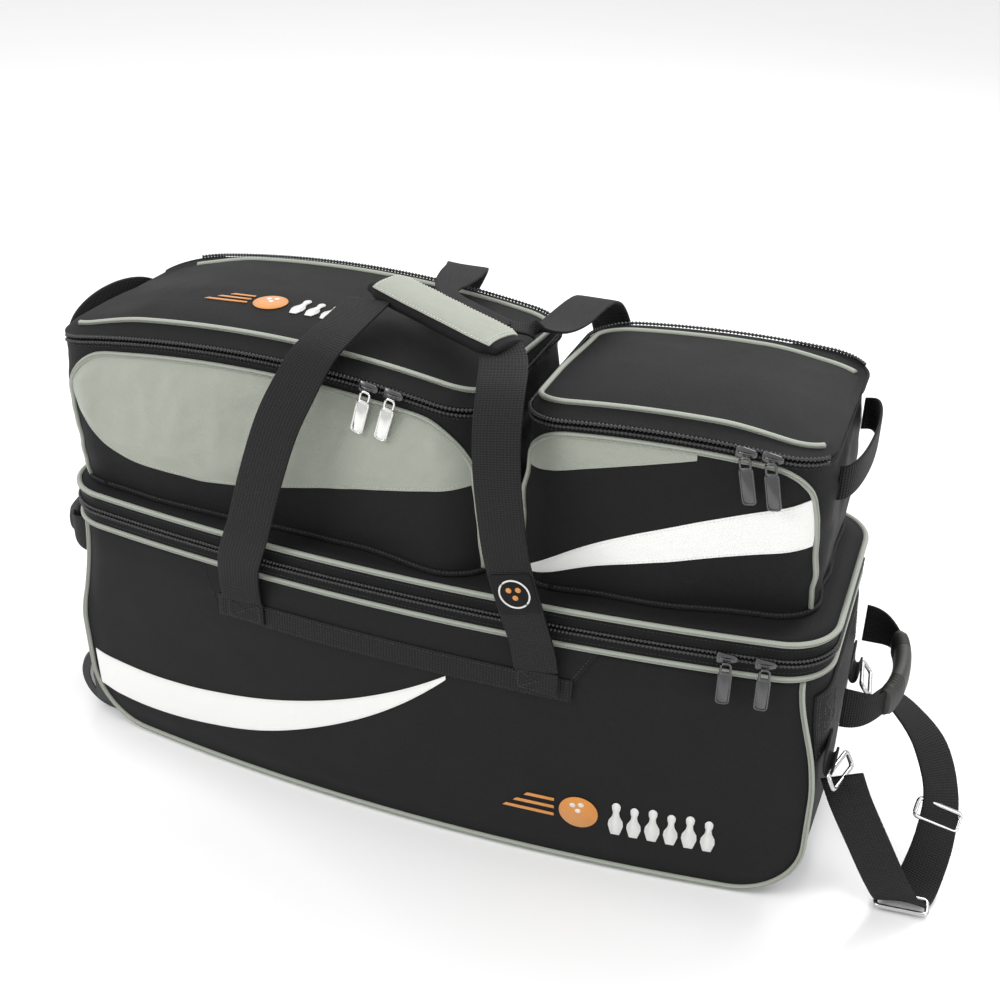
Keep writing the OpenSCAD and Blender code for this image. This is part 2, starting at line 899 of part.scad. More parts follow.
case_front_panel();
case_back_panel();
case_left_end();
case_right_end();
case_bottom();
case_rim_tape();
case_zip_coil();
case_piping();
base_board();
ball_cradles();
bay_dividers();
skid_rails();
wheel_housings();
wheel_axle();
strap_patches();
strap_bands();
front_swoosh();
end_patches();
hinge_strip();
front_wheel_hub();
front_wheel_tyre();
rear_wheel_hub();
rear_wheel_tyre();
lid_panel();
lid_band();
lid_zip_coil();
lid_piping();
left_pocket_shell();
right_pocket_shell();
left_pocket_overlay();
right_pocket_overlay();
pocket_swoosh();
pocket_piping();
pocket_zip_coils();
pocket_end_loops();
left_pocket_lid();
left_lid_trim();
right_pocket_lid();
right_lid_trim();
front_carry_strap();
handle_wrap();
rear_carry_strap();
end_handle_webbing();
end_handle_grip();
left_handle_webbing();
left_handle_grip();
pull_strap();
pull_hardware();
main_slider_a();
main_slider_b();
left_slider_a();
left_slider_b();
right_slider_a();
right_slider_b();
main_pull_a();
main_pull_b();
left_pull_a();
left_pull_b();
right_pull_a();
right_pull_b();
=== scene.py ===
"""Looks of the three-ball rolling bowling bag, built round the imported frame.

Lengths are in millimetres up to the moment a mesh is made. +X is right, -Y is front, +Z is up.
"""

import math

import bmesh
import bpy
import numpy as np
from mathutils import Matrix, Vector, noise


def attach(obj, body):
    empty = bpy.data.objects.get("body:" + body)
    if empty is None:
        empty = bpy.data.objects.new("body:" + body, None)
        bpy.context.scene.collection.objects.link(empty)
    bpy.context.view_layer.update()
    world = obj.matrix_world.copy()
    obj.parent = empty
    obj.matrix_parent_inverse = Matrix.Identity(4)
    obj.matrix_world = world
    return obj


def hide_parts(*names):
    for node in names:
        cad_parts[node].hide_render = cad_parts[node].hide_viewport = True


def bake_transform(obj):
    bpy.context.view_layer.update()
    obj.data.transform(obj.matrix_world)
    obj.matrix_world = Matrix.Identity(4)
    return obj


MM = 0.001

# ---------------------------------------------------------------- frame, camera and studio

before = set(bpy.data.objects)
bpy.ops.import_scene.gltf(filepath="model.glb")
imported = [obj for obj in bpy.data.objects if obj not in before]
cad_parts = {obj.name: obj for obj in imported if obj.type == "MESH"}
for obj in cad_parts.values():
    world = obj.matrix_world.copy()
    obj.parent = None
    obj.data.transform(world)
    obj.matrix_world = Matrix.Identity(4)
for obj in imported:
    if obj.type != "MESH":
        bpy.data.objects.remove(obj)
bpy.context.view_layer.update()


CAMERA_TURNS = (20.0, 28.7, 1.4)
CAMERA_PLACE = (0.40462, -1.01544, 0.86438)
FILM = 36
FOCAL_SHARE = 1.405


def make_camera():
    azimuth, elevation, roll = (math.radians(a) for a in CAMERA_TURNS)
    back = Vector((math.sin(azimuth) * math.cos(elevation),
                   -math.cos(azimuth) * math.cos(elevation), math.sin(elevation)))
    level = Vector((0, 0, 1)).cross(back).normalized()
    upright = back.cross(level)
    right = level * math.cos(roll) + upright * math.sin(roll)
    up = upright * math.cos(roll) - level * math.sin(roll)
    turn = Matrix((right, up, back)).transposed().to_4x4()
    data = bpy.data.cameras.new("camera")
    data.sensor_width = FILM
    data.lens = FILM * FOCAL_SHARE
    camera = bpy.data.objects.new("camera", data)
    camera.matrix_world = Matrix.Translation(CAMERA_PLACE) @ turn
    bpy.context.collection.objects.link(camera)
    bpy.context.scene.camera = camera


def area_light(name, place, aim, size, power, tint=(1, 1, 1)):
    data = bpy.data.lights.new(name, "AREA")
    data.shape = "RECTANGLE"
    data.size, data.size_y = size
    data.energy = power
    data.color = tint
    light = bpy.data.objects.new(name, data)
    light.location = place
    light.rotation_euler = (Vector(aim) - Vector(place)).to_track_quat("-Z", "Y").to_euler()
    bpy.context.collection.objects.link(light)


# ---------------------------------------------------------------- materials

class Finish:
    """A material built from nodes; sockets are set to values or linked to other sockets."""

    def __init__(self, name, colour, rough, **shader):
        self.mat = bpy.data.materials.new(name)
        self.mat.use_nodes = True
        self.tree = self.mat.node_tree
        self.bsdf = self.tree.nodes["Principled BSDF"]
        self.colour = colour
        self.bsdf.inputs["Base Color"].default_value = (*colour, 1)
        self.bsdf.inputs["Roughness"].default_value = rough
        self.height = None
        for socket, value in shader.items():
            self.bsdf.inputs[socket.replace("_", " ")].default_value = value

    def node(self, kind, settings=(), **inputs):
        made = self.tree.nodes.new("ShaderNode" + kind)
        for key, value in dict(settings).items():
            setattr(made, key, value)
        for key, value in inputs.items():
            self.feed(made.inputs[key.replace("_", " ")], value)
        return made

    def feed(self, socket, value):
        """Link another node's output to a socket, or set the socket's own value."""
        if isinstance(value, bpy.types.NodeSocket):
            self.tree.links.new(value, socket)
        else:
            socket.default_value = value

    def place(self, along_piece=False):
        if along_piece:
            return self.node("Attribute", {"attribute_name": "fab"}).outputs["Vector"]
        return self.node("TexCoord").outputs["Object"]

    def math(self, operation, a, b):
        made = self.node("Math", {"operation": operation})
        for socket, value in zip(made.inputs, (a, b)):
            self.feed(socket, value)
        return made.outputs[0]

    def bands(self, at, direction, period, distortion=0.0):
        """Waves of a period in millimetres along X, Y, Z, or along all three at once."""
        turns = 10 if direction == "DIAGONAL" else 20
        return self.node("TexWave", {"bands_direction": direction}, Vector=at,
                         Scale=2 * math.pi / (turns * period * MM), Distortion=distortion,
                         Detail=0.0).outputs["Fac"]

    def noise(self, at, size, detail=3.0, stretch=None):
        """Noise whose features are about size millimetres across."""
        if stretch:
            at = self.node("Mapping", Vector=at, Scale=stretch).outputs["Vector"]
        return self.node("TexNoise", Vector=at, Scale=1 / (size * MM), Detail=detail).outputs["Fac"]

    def spread(self, fac, dark, light):
        """The colour runs between two shares of itself as fac goes from 0 to 1."""
        pair = [(*(min(1, c * k) for c in self.colour), 1) for k in (dark, light)]
        mixed = self.node("MixRGB", Fac=fac, Color1=pair[0], Color2=pair[1]).outputs["Color"]
        self.tree.links.new(mixed, self.bsdf.inputs["Base Color"])

    def rougher(self, fac, low, high):
        mapped = self.node("MapRange", Value=fac, To_Min=low, To_Max=high).outputs["Result"]
        self.tree.links.new(mapped, self.bsdf.inputs["Roughness"])

    def bump(self, fac, depth, strength=1.0):
        """Relief of depth millimetres; each call adds to the one before."""
        made = self.node("Bump", Height=fac, Distance=depth * MM, Strength=strength)
        if self.height is not None:
            self.tree.links.new(self.height, made.inputs["Normal"])
        self.height = made.outputs["Normal"]
        self.tree.links.new(self.height, self.bsdf.inputs["Normal"])


def cloth(name, colour, rough, twill, relief, sheen, crease=0.0, dark=0.8, light=1.25, gloss=0.12):
    f = Finish(name, colour, rough, Sheen_Weight=sheen, Sheen_Roughness=0.4,
               Specular_IOR_Level=gloss)
    at = f.place()
    rows = f.bands(at, "DIAGONAL", twill, 0.3)
    threads = f.noise(at, 0.9, 2.0)
    patches = f.noise(at, 38, 4.0)
    half_rows, half_threads = (f.math("MULTIPLY", part, 0.5) for part in (rows, threads))
    f.spread(f.math("ADD", half_rows, half_threads), dark, light)
    f.rougher(patches, rough - 0.07, rough + 0.07)
    if crease:
        f.bump(f.noise(at, 26, 3.0, (1.0, 1.0, 2.2)), crease)
    f.bump(rows, relief)
    f.bump(threads, relief * 0.7)
    return f.mat


def webbing(name, colour, rib):
    """Woven tape: ribs across it, and finer columns of threads along it."""
    f = Finish(name, colour, 0.62, Sheen_Weight=0.02, Sheen_Roughness=0.35, Specular_IOR_Level=0.16)
    at = f.place(True)
    ribs = f.bands(at, "X", rib, 0.4)
    columns = f.bands(at, "Y", 2.6, 0.2)
    fuzz = f.noise(at, 0.8, 2.0)
    f.spread(f.math("MULTIPLY", f.math("ADD", ribs, columns), f.math("ADD", fuzz, 0.2)), 0.55, 1.7)
    f.bump(ribs, 0.5)
    f.bump(columns, 0.25)
    f.bump(fuzz, 0.12)
    return f.mat


def cord_cover(name, colour):
    """Woven bias tape round a piping cord: a fine herringbone."""
    f = Finish(name, colour, 0.55, Sheen_Weight=0.3, Sheen_Roughness=0.4)
    at = f.place(True)
    slant = f.bands(at, "DIAGONAL", 1.9, 0.3)
    cross = f.bands(at, "X", 1.1, 0.2)
    f.spread(f.math("MULTIPLY", slant, f.math("ADD", cross, 0.4)), 0.68, 1.12)
    f.bump(slant, 0.22)
    f.bump(f.noise(at, 5.0), 0.25)
    return f.mat


def solid(name, colour, rough, grain, relief, dark=0.85, light=1.12, **shader):
    """Moulded plastic, rubber, foam or metal, with a grain in its colour, gloss and relief."""
    f = Finish(name, colour, rough, **shader)
    at = f.place()
    fine = f.noise(at, grain, 4.0)
    wide = f.noise(at, grain * 14, 3.0)
    f.spread(f.math("MULTIPLY", fine, f.math("ADD", wide, 0.5)), dark, light)
    f.rougher(wide, max(0.03, rough - 0.08), rough + 0.1)
    f.bump(fine, relief)
    return f.mat


def satin_stitch(name, colour):
    """Embroidery: close parallel threads with a silky gloss."""
    f = Finish(name, colour, 0.42, Sheen_Weight=0.3)
    at = f.place()
    rows = f.bands(at, "X", 0.9, 0.6)
    f.spread(f.math("MULTIPLY", rows, f.math("ADD", f.noise(at, 6.0), 0.6)), 0.72, 1.08)
    f.bump(rows, 0.3)
    return f.mat


BLACK = cloth("black_twill", (0.0105, 0.0105, 0.0108), 0.62, 1.7, 0.26, 0.01, 0.5, 0.45, 1.75)
GUSSET = cloth("black_gusset_twill", (0.0088, 0.0088, 0.0091), 0.64, 1.7, 0.26, 0.01, 0.7, 0.45, 1.75)
LINING = cloth("lining_fabric", (0.022, 0.022, 0.024), 0.7, 1.2, 0.1, 0.02)
SILVER = cloth("silver_satin_twill", (0.335, 0.355, 0.300), 0.42, 1.9, 0.24, 0.15, 1.2, 0.72, 1.16, 0.45)
WHITE = cloth("white_twill", (0.86, 0.86, 0.84), 0.6, 1.9, 0.2, 0.1, 0.4, 0.86, 1.04, 0.3)
TAPE = cloth("zip_tape", (0.009, 0.009, 0.009), 0.6, 0.9, 0.16, 0.01, 0.2)
WEB = webbing("black_webbing", (0.0105, 0.0105, 0.0105), 1.9)
PATCH_WEB = webbing("ribbed_band", (0.0100, 0.0100, 0.0100), 2.6)
PIPING = cord_cover("silver_piping", (0.36, 0.385, 0.325))
COIL = solid("nylon_coil", (0.016, 0.016, 0.017), 0.28, 0.7, 0.08, Specular_IOR_Level=0.5)
BOARD = solid("board_cover", (0.035, 0.035, 0.036), 0.75, 0.8, 0.1)
FOAM = solid("closed_foam", (0.045, 0.045, 0.05), 0.92, 1.1, 0.3, 0.7, 1.3)
PLASTIC = solid("moulded_plastic", (0.016, 0.016, 0.017), 0.42, 0.6, 0.07)
RUBBER = solid("soft_rubber", (0.022, 0.022, 0.020), 0.55, 0.8, 0.12, 0.8, 1.3)
TYRE = solid("tyre_rubber", (0.020, 0.020, 0.021), 0.60, 0.9, 0.15, 0.8, 1.3)
HUB = solid("hub_plastic", (0.26, 0.26, 0.25), 0.40, 0.7, 0.05)
STEEL = solid("plated_steel", (0.56, 0.56, 0.55), 0.24, 1.2, 0.03, 0.9, 1.05, Metallic=1.0)
GUNMETAL = solid("gunmetal", (0.11, 0.11, 0.113), 0.24, 1.1, 0.03, 0.85, 1.1, Metallic=1.0)
CHROME = solid("bright_chrome", (0.74, 0.74, 0.72), 0.16, 1.1, 0.03, 0.9, 1.05, Metallic=1.0)
DARK_THREAD = satin_stitch("black_thread", (0.020, 0.020, 0.021))
PALE_THREAD = satin_stitch("pale_thread", (0.70, 0.71, 0.66))
ORANGE = satin_stitch("orange_embroidery", (0.78, 0.29, 0.035))
WHITE_THREAD = satin_stitch("white_embroidery", (0.88, 0.88, 0.86))

# ---------------------------------------------------------------- mesh tools


def unit(rows):
    rows = np.asarray(rows, float)
    return rows / np.maximum(np.linalg.norm(rows, axis=-1, keepdims=True), 1e-9)


def tangents(path, closed):
    ahead, behind = np.roll(path, -1, 0), np.roll(path, 1, 0)
    if not closed:
        ahead[-1], behind[0] = path[-1], path[0]
    return unit(ahead - behind)


def lengths(points, axis):
    """Distance travelled along one axis of a grid of points."""
    steps = np.linalg.norm(np.diff(points, axis=axis), axis=-1)
    total = np.cumsum(steps, axis=axis)
    return np.concatenate([np.zeros_like(np.take(total, [0], axis)), total], axis)


def spline(stations, count):
    """Smooth curve through stations, evenly spread between them."""
    p = np.asarray(stations, float)
    ext = np.vstack([2 * p[0] - p[1], p, 2 * p[-1] - p[-2]])
    out = []
    for t in np.linspace(0, len(p) - 1, count):
        i = min(int(t), len(p) - 2)
        f = t - i
        a, b, c, d = ext[i:i + 4]
        out.append(0.5 * (2 * b + (c - a) * f + (2 * a - 5 * b + 4 * c - d) * f * f
                          + (3 * b - a - 3 * c + d) * f ** 3))
    return np.array(out)


def even(path, step, closed=False, count=0):
    """The same line with points about step apart, or with count points."""
    p = np.vstack([path, path[:1]]) if closed else np.asarray(path, float)
    run = np.concatenate([[0], np.cumsum(np.linalg.norm(np.diff(p, axis=0), axis=1))])
    count = count or max(3, int(round(run[-1] / step)) + 1)
    at = np.linspace(0, run[-1], count)
    if closed:
        at = at[:-1]
    return np.stack([np.interp(at, run, p[:, k]) for k in range(p.shape[1])], 1)


def oval(width, height, count=12, power=1.0):
    """Closed outline; a power below 1 squares its corners."""
    a = np.linspace(0, 2 * np.pi, count, endpoint=False) + np.pi / count
    c, s = np.cos(a), np.sin(a)
    return np.stack([np.sign(c) * abs(c) ** power * width / 2,
                     np.sign(s) * abs(s) ** power * height / 2], 1)


def rounded_box(w, h, r, per_corner=4):
    """Outline of a rectangle with rounded corners, round the origin."""
    out = []
    for k, (sx, sy) in enumerate(((1, 1), (-1, 1), (-1, -1), (1, -1))):
        for i in range(per_corner + 1):
            a = math.pi / 2 * (k + i / per_corner)
            out.append((sx * (w / 2 - r) + r * math.cos(a), sy * (h / 2 - r) + r * math.sin(a)))
    return np.array(out)


class Shape:
    """Collects grids, tubes and plates, then makes one mesh object of them."""

    def __init__(self):
        self.verts, self.faces, self.fab = [], [], []

    def add(self, verts, faces, fab=None):
        base = len(self.verts)
        verts = np.asarray(verts, float).reshape(-1, 3)
        self.verts.extend(verts)
        self.fab.extend(np.zeros_like(verts) + verts if fab is None else fab)
        self.faces.extend([[base + i for i in f] for f in faces])

    def grid(self, pts, wrap_u=False, wrap_v=False, cap=False, skip=None, last=False):
        """Surface through pts[u][v]; cap closes the two ends of a tube, and last the far one only."""
        pts = np.asarray(pts, float)
        n, m = pts.shape[:2]
        faces = []
        for i in range(n if wrap_u else n - 1):
            for j in range(m if wrap_v else m - 1):
                if skip is not None and skip(i, j):
                    continue
                a, b = i, (i + 1) % n
                c, d = j, (j + 1) % m
                faces.append((a * m + c, a * m + d, b * m + d, b * m + c))
        if cap:
            faces.append(tuple(range(m))[::-1])
        if cap or last:
            faces.append(tuple((n - 1) * m + j for j in range(m)))
        along, across = lengths(pts, 0), lengths(pts, 1)
        mid = along[:, m // 2:m // 2 + 1] * np.ones((1, m))
        fab = np.stack([mid, across - across[:, -1:] / 2, 0 * across], -1).reshape(-1, 3)
        self.add(pts, faces, fab)
        return self

    def sweep(self, path, u, v, section, closed=False):
        """Section carried along path; u and v are its two axes at each point."""
        path, u, v = (np.asarray(x, float) for x in (path, u, v))
        section = np.asarray(section, float)
        if section.ndim == 2:
            section = np.broadcast_to(section, (len(path), *section.shape))
        pts = (path[:, None] + u[:, None] * section[..., :1] + v[:, None] * section[..., 1:])
        return self.grid(pts, wrap_u=closed, wrap_v=True, cap=not closed)

    def belt(self, path, width_way, section):
        """Section carried along an open path, its first axis along width_way."""
        width_way = np.broadcast_to(np.asarray(width_way, float), path.shape)
        return self.sweep(path, width_way, np.cross(tangents(path, False), width_way), section)

    def tube(self, path, radius, closed=False, sides=8):
        """Round tube; radius is a number or one for each point."""
        path = np.asarray(path, float)
        t = tangents(path, closed)
        hint = np.where(abs(t[:, 2:]) > 0.8, [[1.0, 0, 0]], [[0, 0, 1.0]])
        u = unit(np.cross(t, hint))
        for i in range(1, len(u)):
            carried = u[i - 1] - t[i] * np.dot(u[i - 1], t[i])
            if not closed and np.linalg.norm(carried) > 1e-6:
                u[i] = unit(carried)
        v = np.cross(t, u)
        ring = oval(2, 2, sides)
        r = np.broadcast_to(np.asarray(radius, float).reshape(-1, 1, 1), (len(path), 1, 1))
        return self.sweep(path, u, v, ring[None] * r, closed)

    def plate(self, outline, to_world, low, high, bevel=0.4):
        """Flat plate with bevelled rims: outline in its plane, thickness from low to high."""
        outline = np.asarray(outline, float)
        middle = outline.mean(0)
        reach = np.abs(outline - middle).max()
        shrink = max(0.2, 1 - bevel / reach)
        rings = []
        for z, k in ((low, shrink), (low + bevel, 1), (high - bevel, 1), (high, shrink)):
            flat = middle + (outline - middle) * k
            rings.append([to_world(x, y, z) for x, y in flat])
        return self.grid(rings, wrap_v=True, cap=True)

    def stitches(self, path, normals, pitch=3.4, size=2.3, thick=0.45, lift=0.1):
        """A row of thread stitches standing a little out of the cloth."""
        path = np.asarray(path, float)
        run = np.concatenate([[0], np.cumsum(np.linalg.norm(np.diff(path, axis=0), axis=1))])
        normals = np.asarray(normals, float)
        if normals.ndim == 1:
            normals = np.broadcast_to(normals, path.shape)
        for s in np.arange(pitch / 2, run[-1] - pitch / 2, pitch):
            a, b, n = (np.array([np.interp(q, run, arr[:, k]) for k in range(3)])
                       for q, arr in ((s - size / 2, path), (s + size / 2, path), (s, normals)))
            n = unit(n)
            t = unit(b - a)
            side = np.cross(t, n) * thick / 2
            up = n * thick * 0.6
            mid = (a + b) / 2 + n * lift
            a, b = a - n * 0.15, b - n * 0.15
            q = (b - a) * 0.28
            rings = [c + way for c in (mid - q, mid + q) for way in (side, up, -side, -up)]
            pts = [a, *rings, b]
            faces = [(0, 1 + (j + 1) % 4, 1 + j) for j in range(4)]
            faces += [(1 + j, 1 + (j + 1) % 4, 5 + (j + 1) % 4, 5 + j) for j in range(4)]
            faces += [(5 + j, 5 + (j + 1) % 4, 9) for j in range(4)]
            self.add(pts, faces)
        return self

    def make(self, name, material, body, slot, replaces=(), centre=None, thick=0.0):
        """centre is a point behind an open skin, so that its faces look away from it."""
        mesh = bpy.data.meshes.new(name)
        mesh.from_pydata([tuple(v * MM) for v in self.verts], [], self.faces)
        mesh.materials.append(material)
        fab = mesh.attributes.new("fab", "FLOAT_VECTOR", "POINT")
        fab.data.foreach_set("vector", (np.array(self.fab, float) * MM).ravel())
        bm = bmesh.new()
        bm.from_mesh(mesh)
        bmesh.ops.recalc_face_normals(bm, faces=bm.faces)
        if centre is not None:
            c = Vector(centre) * MM
            lean = sum(f.normal.dot(f.calc_center_median() - c) * f.calc_area() for f in bm.faces)
            if lean < 0:
                bmesh.ops.reverse_faces(bm, faces=bm.faces)
        bm.to_mesh(mesh)
        bm.free()
        mesh.polygons.foreach_set("use_smooth", [True] * len(mesh.polygons))
        obj = bpy.data.objects.new(name, mesh)
        bpy.context.collection.objects.link(obj)
        if thick:
            shell = obj.modifiers.new("thickness", "SOLIDIFY")
            shell.thickness = thick * MM
            shell.offset = -1
            apply_modifiers(obj)
        if body:
            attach(obj, body)
        if replaces:
            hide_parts(*([replaces] if isinstance(replaces, str) else replaces))
        return obj


FINE = (3.0, 2.2, 0.4)


def sew(name, thread, body, slot, lines):
    """One piece of thread from several stitch lines: each a path, its normals and its sizes."""
    shape = Shape()
    for path, normals, *sizes in lines:
        shape.stitches(path, normals, *sizes)
    shape.make(name, thread, body, slot)


def apply_modifiers(obj):
    bpy.context.view_layer.update()
    shown = obj.evaluated_get(bpy.context.evaluated_depsgraph_get())
    final = bpy.data.meshes.new_from_object(shown)
    obj.modifiers.clear()
    obj.data = final


def border(grid):
    """The points round the edge of a grid, in order."""
    return np.vstack([grid[0], grid[1:, -1], grid[-1, ::-1][1:], grid[::-1, 0][1:-1]])


def tape_section(width, thick=2.6):
    """Outline of webbing cut across: flat, with soft edges."""
    return oval(width, thick, 16, 0.35)


def cross_box(x, half, low, high):
    """The stitch line that holds a webbing foot: a box with a cross in it."""
    a, b = x - half, x + half
    return even(np.array([(a, low), (b, low), (b, high), (a, high), (a, low),
                          (b, high), (b, low), (a, high)], float), 4.0)


def ripple(p, size, seed=0.0):
    """Smooth noise from -1 to 1 whose waves are about size long."""
    return noise.noise(Vector(p) / size + Vector((seed, seed * 1.7, seed * 2.3)))


def ease(t):
    t = np.clip(t, 0, 1)
    return t * t * (3 - 2 * t)


# ---------------------------------------------------------------- case: shape of its skins

HALF_LEN, HALF_DEP, BOW_R, LEAN = 342, 137, 2000, math.tan(math.radians(2.8))
ARC_Y = BOW_R - HALF_DEP
CORNER_R = 45
CORNER_X = HALF_LEN - CORNER_R
CORNER_Y = ARC_Y - math.sqrt((BOW_R - CORNER_R) ** 2 - CORNER_X ** 2)
CORNER_TURN = math.asin(CORNER_X / (BOW_R - CORNER_R))
END_X, FLOOR_Z, SEAM_Z, ZIP_Z, LID_Z, DECK_Z = 347, 4, 229, 247, 263, 267
FOOT_R = 58
CASE_MIDDLE = (0, 0, 120)
RIM_ROUND = 1760


def rim(g, z, step=5.0):
    """Closed line round the rim, anticlockwise from the left end, grown outward by g."""
    def corner(x, a):
        return (x + (CORNER_R + g) * math.sin(a), CORNER_Y - (CORNER_R + g) * math.cos(a), z)

    half = [corner(-CORNER_X, a) for a in np.linspace(-math.pi / 2, -CORNER_TURN, 16)]
    half += [((BOW_R + g) * math.sin(a), ARC_Y - (BOW_R + g) * math.cos(a), z)
             for a in np.linspace(-CORNER_TURN, CORNER_TURN, 120)[1:-1]]
    half += [corner(CORNER_X, a) for a in np.linspace(CORNER_TURN, math.pi / 2, 16)]
    half = np.array(half)
    back = half * [-1, -1, 1]
    return even(np.vstack([half, back]), step, closed=True, count=int(RIM_ROUND / step))


def outward(path, closed=True):
    t = tangents(path, closed)
    return unit(np.stack([t[:, 1], -t[:, 0], 0 * t[:, 0]], 1))


UP = np.array([0, 0, 1.0])
FRONT = (0, -1, 0)


def upright(path):
    return np.broadcast_to(UP, path.shape)


SQUARE_Z = 112


def squareness(z):
    """1 where the case follows the rounded rim, 0 where it is a square box."""
    return float(ease((z - SQUARE_Z) / (SEAM_Z - SQUARE_Z)))


TOP_EDGE_X = 325


def edge_x(z):
    """Half length of the front panel at a height."""
    x = END_X - 2 - (END_X - 2 - TOP_EDGE_X) * squareness(z)
    if z < FLOOR_Z + FOOT_R:
        x -= FOOT_R - math.sqrt(max(0.0, FOOT_R ** 2 - (FLOOR_Z + FOOT_R - z) ** 2))
    return x


def wall_skin(x, z, off=0.0, side=-1):
    """Point of the front (side -1) or back panel, off millimetres outside its cloth."""
    y = -HALF_DEP + x * x / (2 * BOW_R) + (230 - z) * LEAN
    past = abs(x) - CORNER_X
    if past > CORNER_R * math.sin(CORNER_TURN):
        corner_y = CORNER_Y - math.sqrt(CORNER_R ** 2 - min(past, CORNER_R - 2) ** 2)
        y += squareness(z) * max(0.0, corner_y - y)
    inside = max(0.0, min(edge_x(z) - abs(x), SEAM_Z - z, z - FLOOR_Z))
    puff = 2.6 * float(ease(inside / 26)) - 1.2
    puff += 1.1 * float(ease(inside / 40)) * ripple((x, 0, z), 95, 3.0 + side)
    puff += 0.5 * float(ease(inside / 30)) * ripple((x * 0.6, 0, z), 34, 7.0 + side)
    return np.array([x, -side * (y - off - puff), z])


def front_point(x, z, off):
    return wall_skin(x, z, off, -1)


def panel_line(gap, side, step=6.0):
    """The free edge of the front or back panel: down one side, along the foot and up the other."""
    zs = np.linspace(SEAM_Z - 1, FLOOR_Z + FOOT_R, 34)
    right = [(edge_x(z) - gap, z) for z in zs]
    r = FOOT_R - gap
    foot = [(END_X - 2 - FOOT_R + r * math.cos(a), FLOOR_Z + FOOT_R - r * math.sin(a))
            for a in np.linspace(0, math.pi / 2, 14)[1:]]
    half = right + foot
    flat = np.array(half + [(-x, z) for x, z in half[::-1]])
    flat = even(flat, step)
    return np.array([wall_skin(x, max(z, FLOOR_Z + 0.3), 0.0, side) for x, z in flat])


def build_panels():
    rows = np.concatenate([np.linspace(FLOOR_Z, 60, 16), np.linspace(66, SEAM_Z, 26)])
    for side, name in ((-1, "front_panel"), (1, "back_panel")):
        pts = [[wall_skin(edge_x(z) * (2 * t - 1), z, 0.0, side) for t in np.linspace(0, 1, 112)]
               for z in rows]
        Shape().grid(pts).make(name, BLACK, "case", "shell_fabric", "case_" + name,
                               centre=CASE_MIDDLE, thick=4.0)


def end_point(sign, y, z, off=0.0):
    """Point of the cloth at the bag's left (sign -1) or right end, off millimetres outside it."""
    edge_y = abs(wall_skin(edge_x(z), z)[1])
    w = squareness(z)

    def plain(depth):
        past = max(0.0, abs(depth) + CORNER_Y)
        rounded = CORNER_X + math.sqrt(max(0.0, CORNER_R ** 2 - past ** 2))
        return (END_X - 2) * (1 - w) + rounded * w

    share = min(1.0, abs(y) / edge_y)
    x = plain(y) + (edge_x(z) - plain(edge_y)) * share ** 6
    middle = 1 - share ** 2
    if not (sign < 0 and z < 95):
        x += 3.4 * middle * float(ease((SEAM_Z - z) / 70))
        x += 1.4 * middle * ripple((sign * x, y, z), 60, 11.0) * float(ease((SEAM_Z - z) / 40))
    return np.array([sign * (x + off), y, z])


WELL_Y = [77 - 15.6, 77 + 15.6]
WELL_X, WELL_TOP = -285, 83.5
BAND_COUNTS = [5, 4, 14, 4, 5]
WELL_COLUMNS = (*range(5, 9), *range(23, 27))


def build_gusset():
    """Cloth round the two ends and under the bag, with openings for the two wheels."""
    z_side = np.concatenate([np.linspace(SEAM_Z, 83, 30), np.linspace(83, FLOOR_Z + FOOT_R, 5)[1:]])
    arc = np.linspace(0, math.pi / 2, 12)[1:]
    right = [(edge_x(z), z, True) for z in z_side]
    right += [(END_X - 2 - FOOT_R + FOOT_R * math.cos(a), FLOOR_Z + FOOT_R - FOOT_R * math.sin(a), False)
              for a in arc]
    under = [(x, FLOOR_Z, False) for x in np.linspace(250, -250, 41)]
    left = [(-x, z, s) for x, z, s in right[::-1]]
    outline = right + under + left
    pts = []
    for x, z, tall in outline:
        sign = 1 if x > 0 else -1
        depth = abs(wall_skin(x, z)[1])
        cuts = [0.5 + y / (2 * depth) for y in (-WELL_Y[1], -WELL_Y[0], WELL_Y[0], WELL_Y[1])]
        row = []
        for t in well_ts(cuts):
            y = depth * (2 * t - 1)
            row.append(end_point(sign, y, z) if tall else np.array([x, y, z]))
        pts.append(row)

    def in_well(i, j):
        x0, z0 = outline[i][0], outline[i][1]
        x1, z1 = outline[i + 1][0], outline[i + 1][1]
        return max(x0, x1) < WELL_X and max(z0, z1) < WELL_TOP and j in WELL_COLUMNS

    Shape().grid(pts, skip=in_well).make("gusset", GUSSET, "case", "shell_fabric",
                                         ("case_left_end", "case_right_end", "case_bottom"),
                                         centre=CASE_MIDDLE, thick=4.0)


def well_ts(cuts):
    """Spread of t from 0 to 1 that has a column exactly on each edge of the wheel openings."""
    marks = [0.0, *cuts, 1.0]
    out = []
    for a, b, n in zip(marks, marks[1:], BAND_COUNTS):
        out += list(np.linspace(a, b, n, endpoint=False))
    return out + [1.0]


def half_cord(path, out, up, radius, shape, closed=False):
    """Piping cord, about a third of it sunk in its seam."""
    shape.sweep(path + out * radius * 0.35, out, up, oval(2 * radius, 2 * radius, 10), closed)


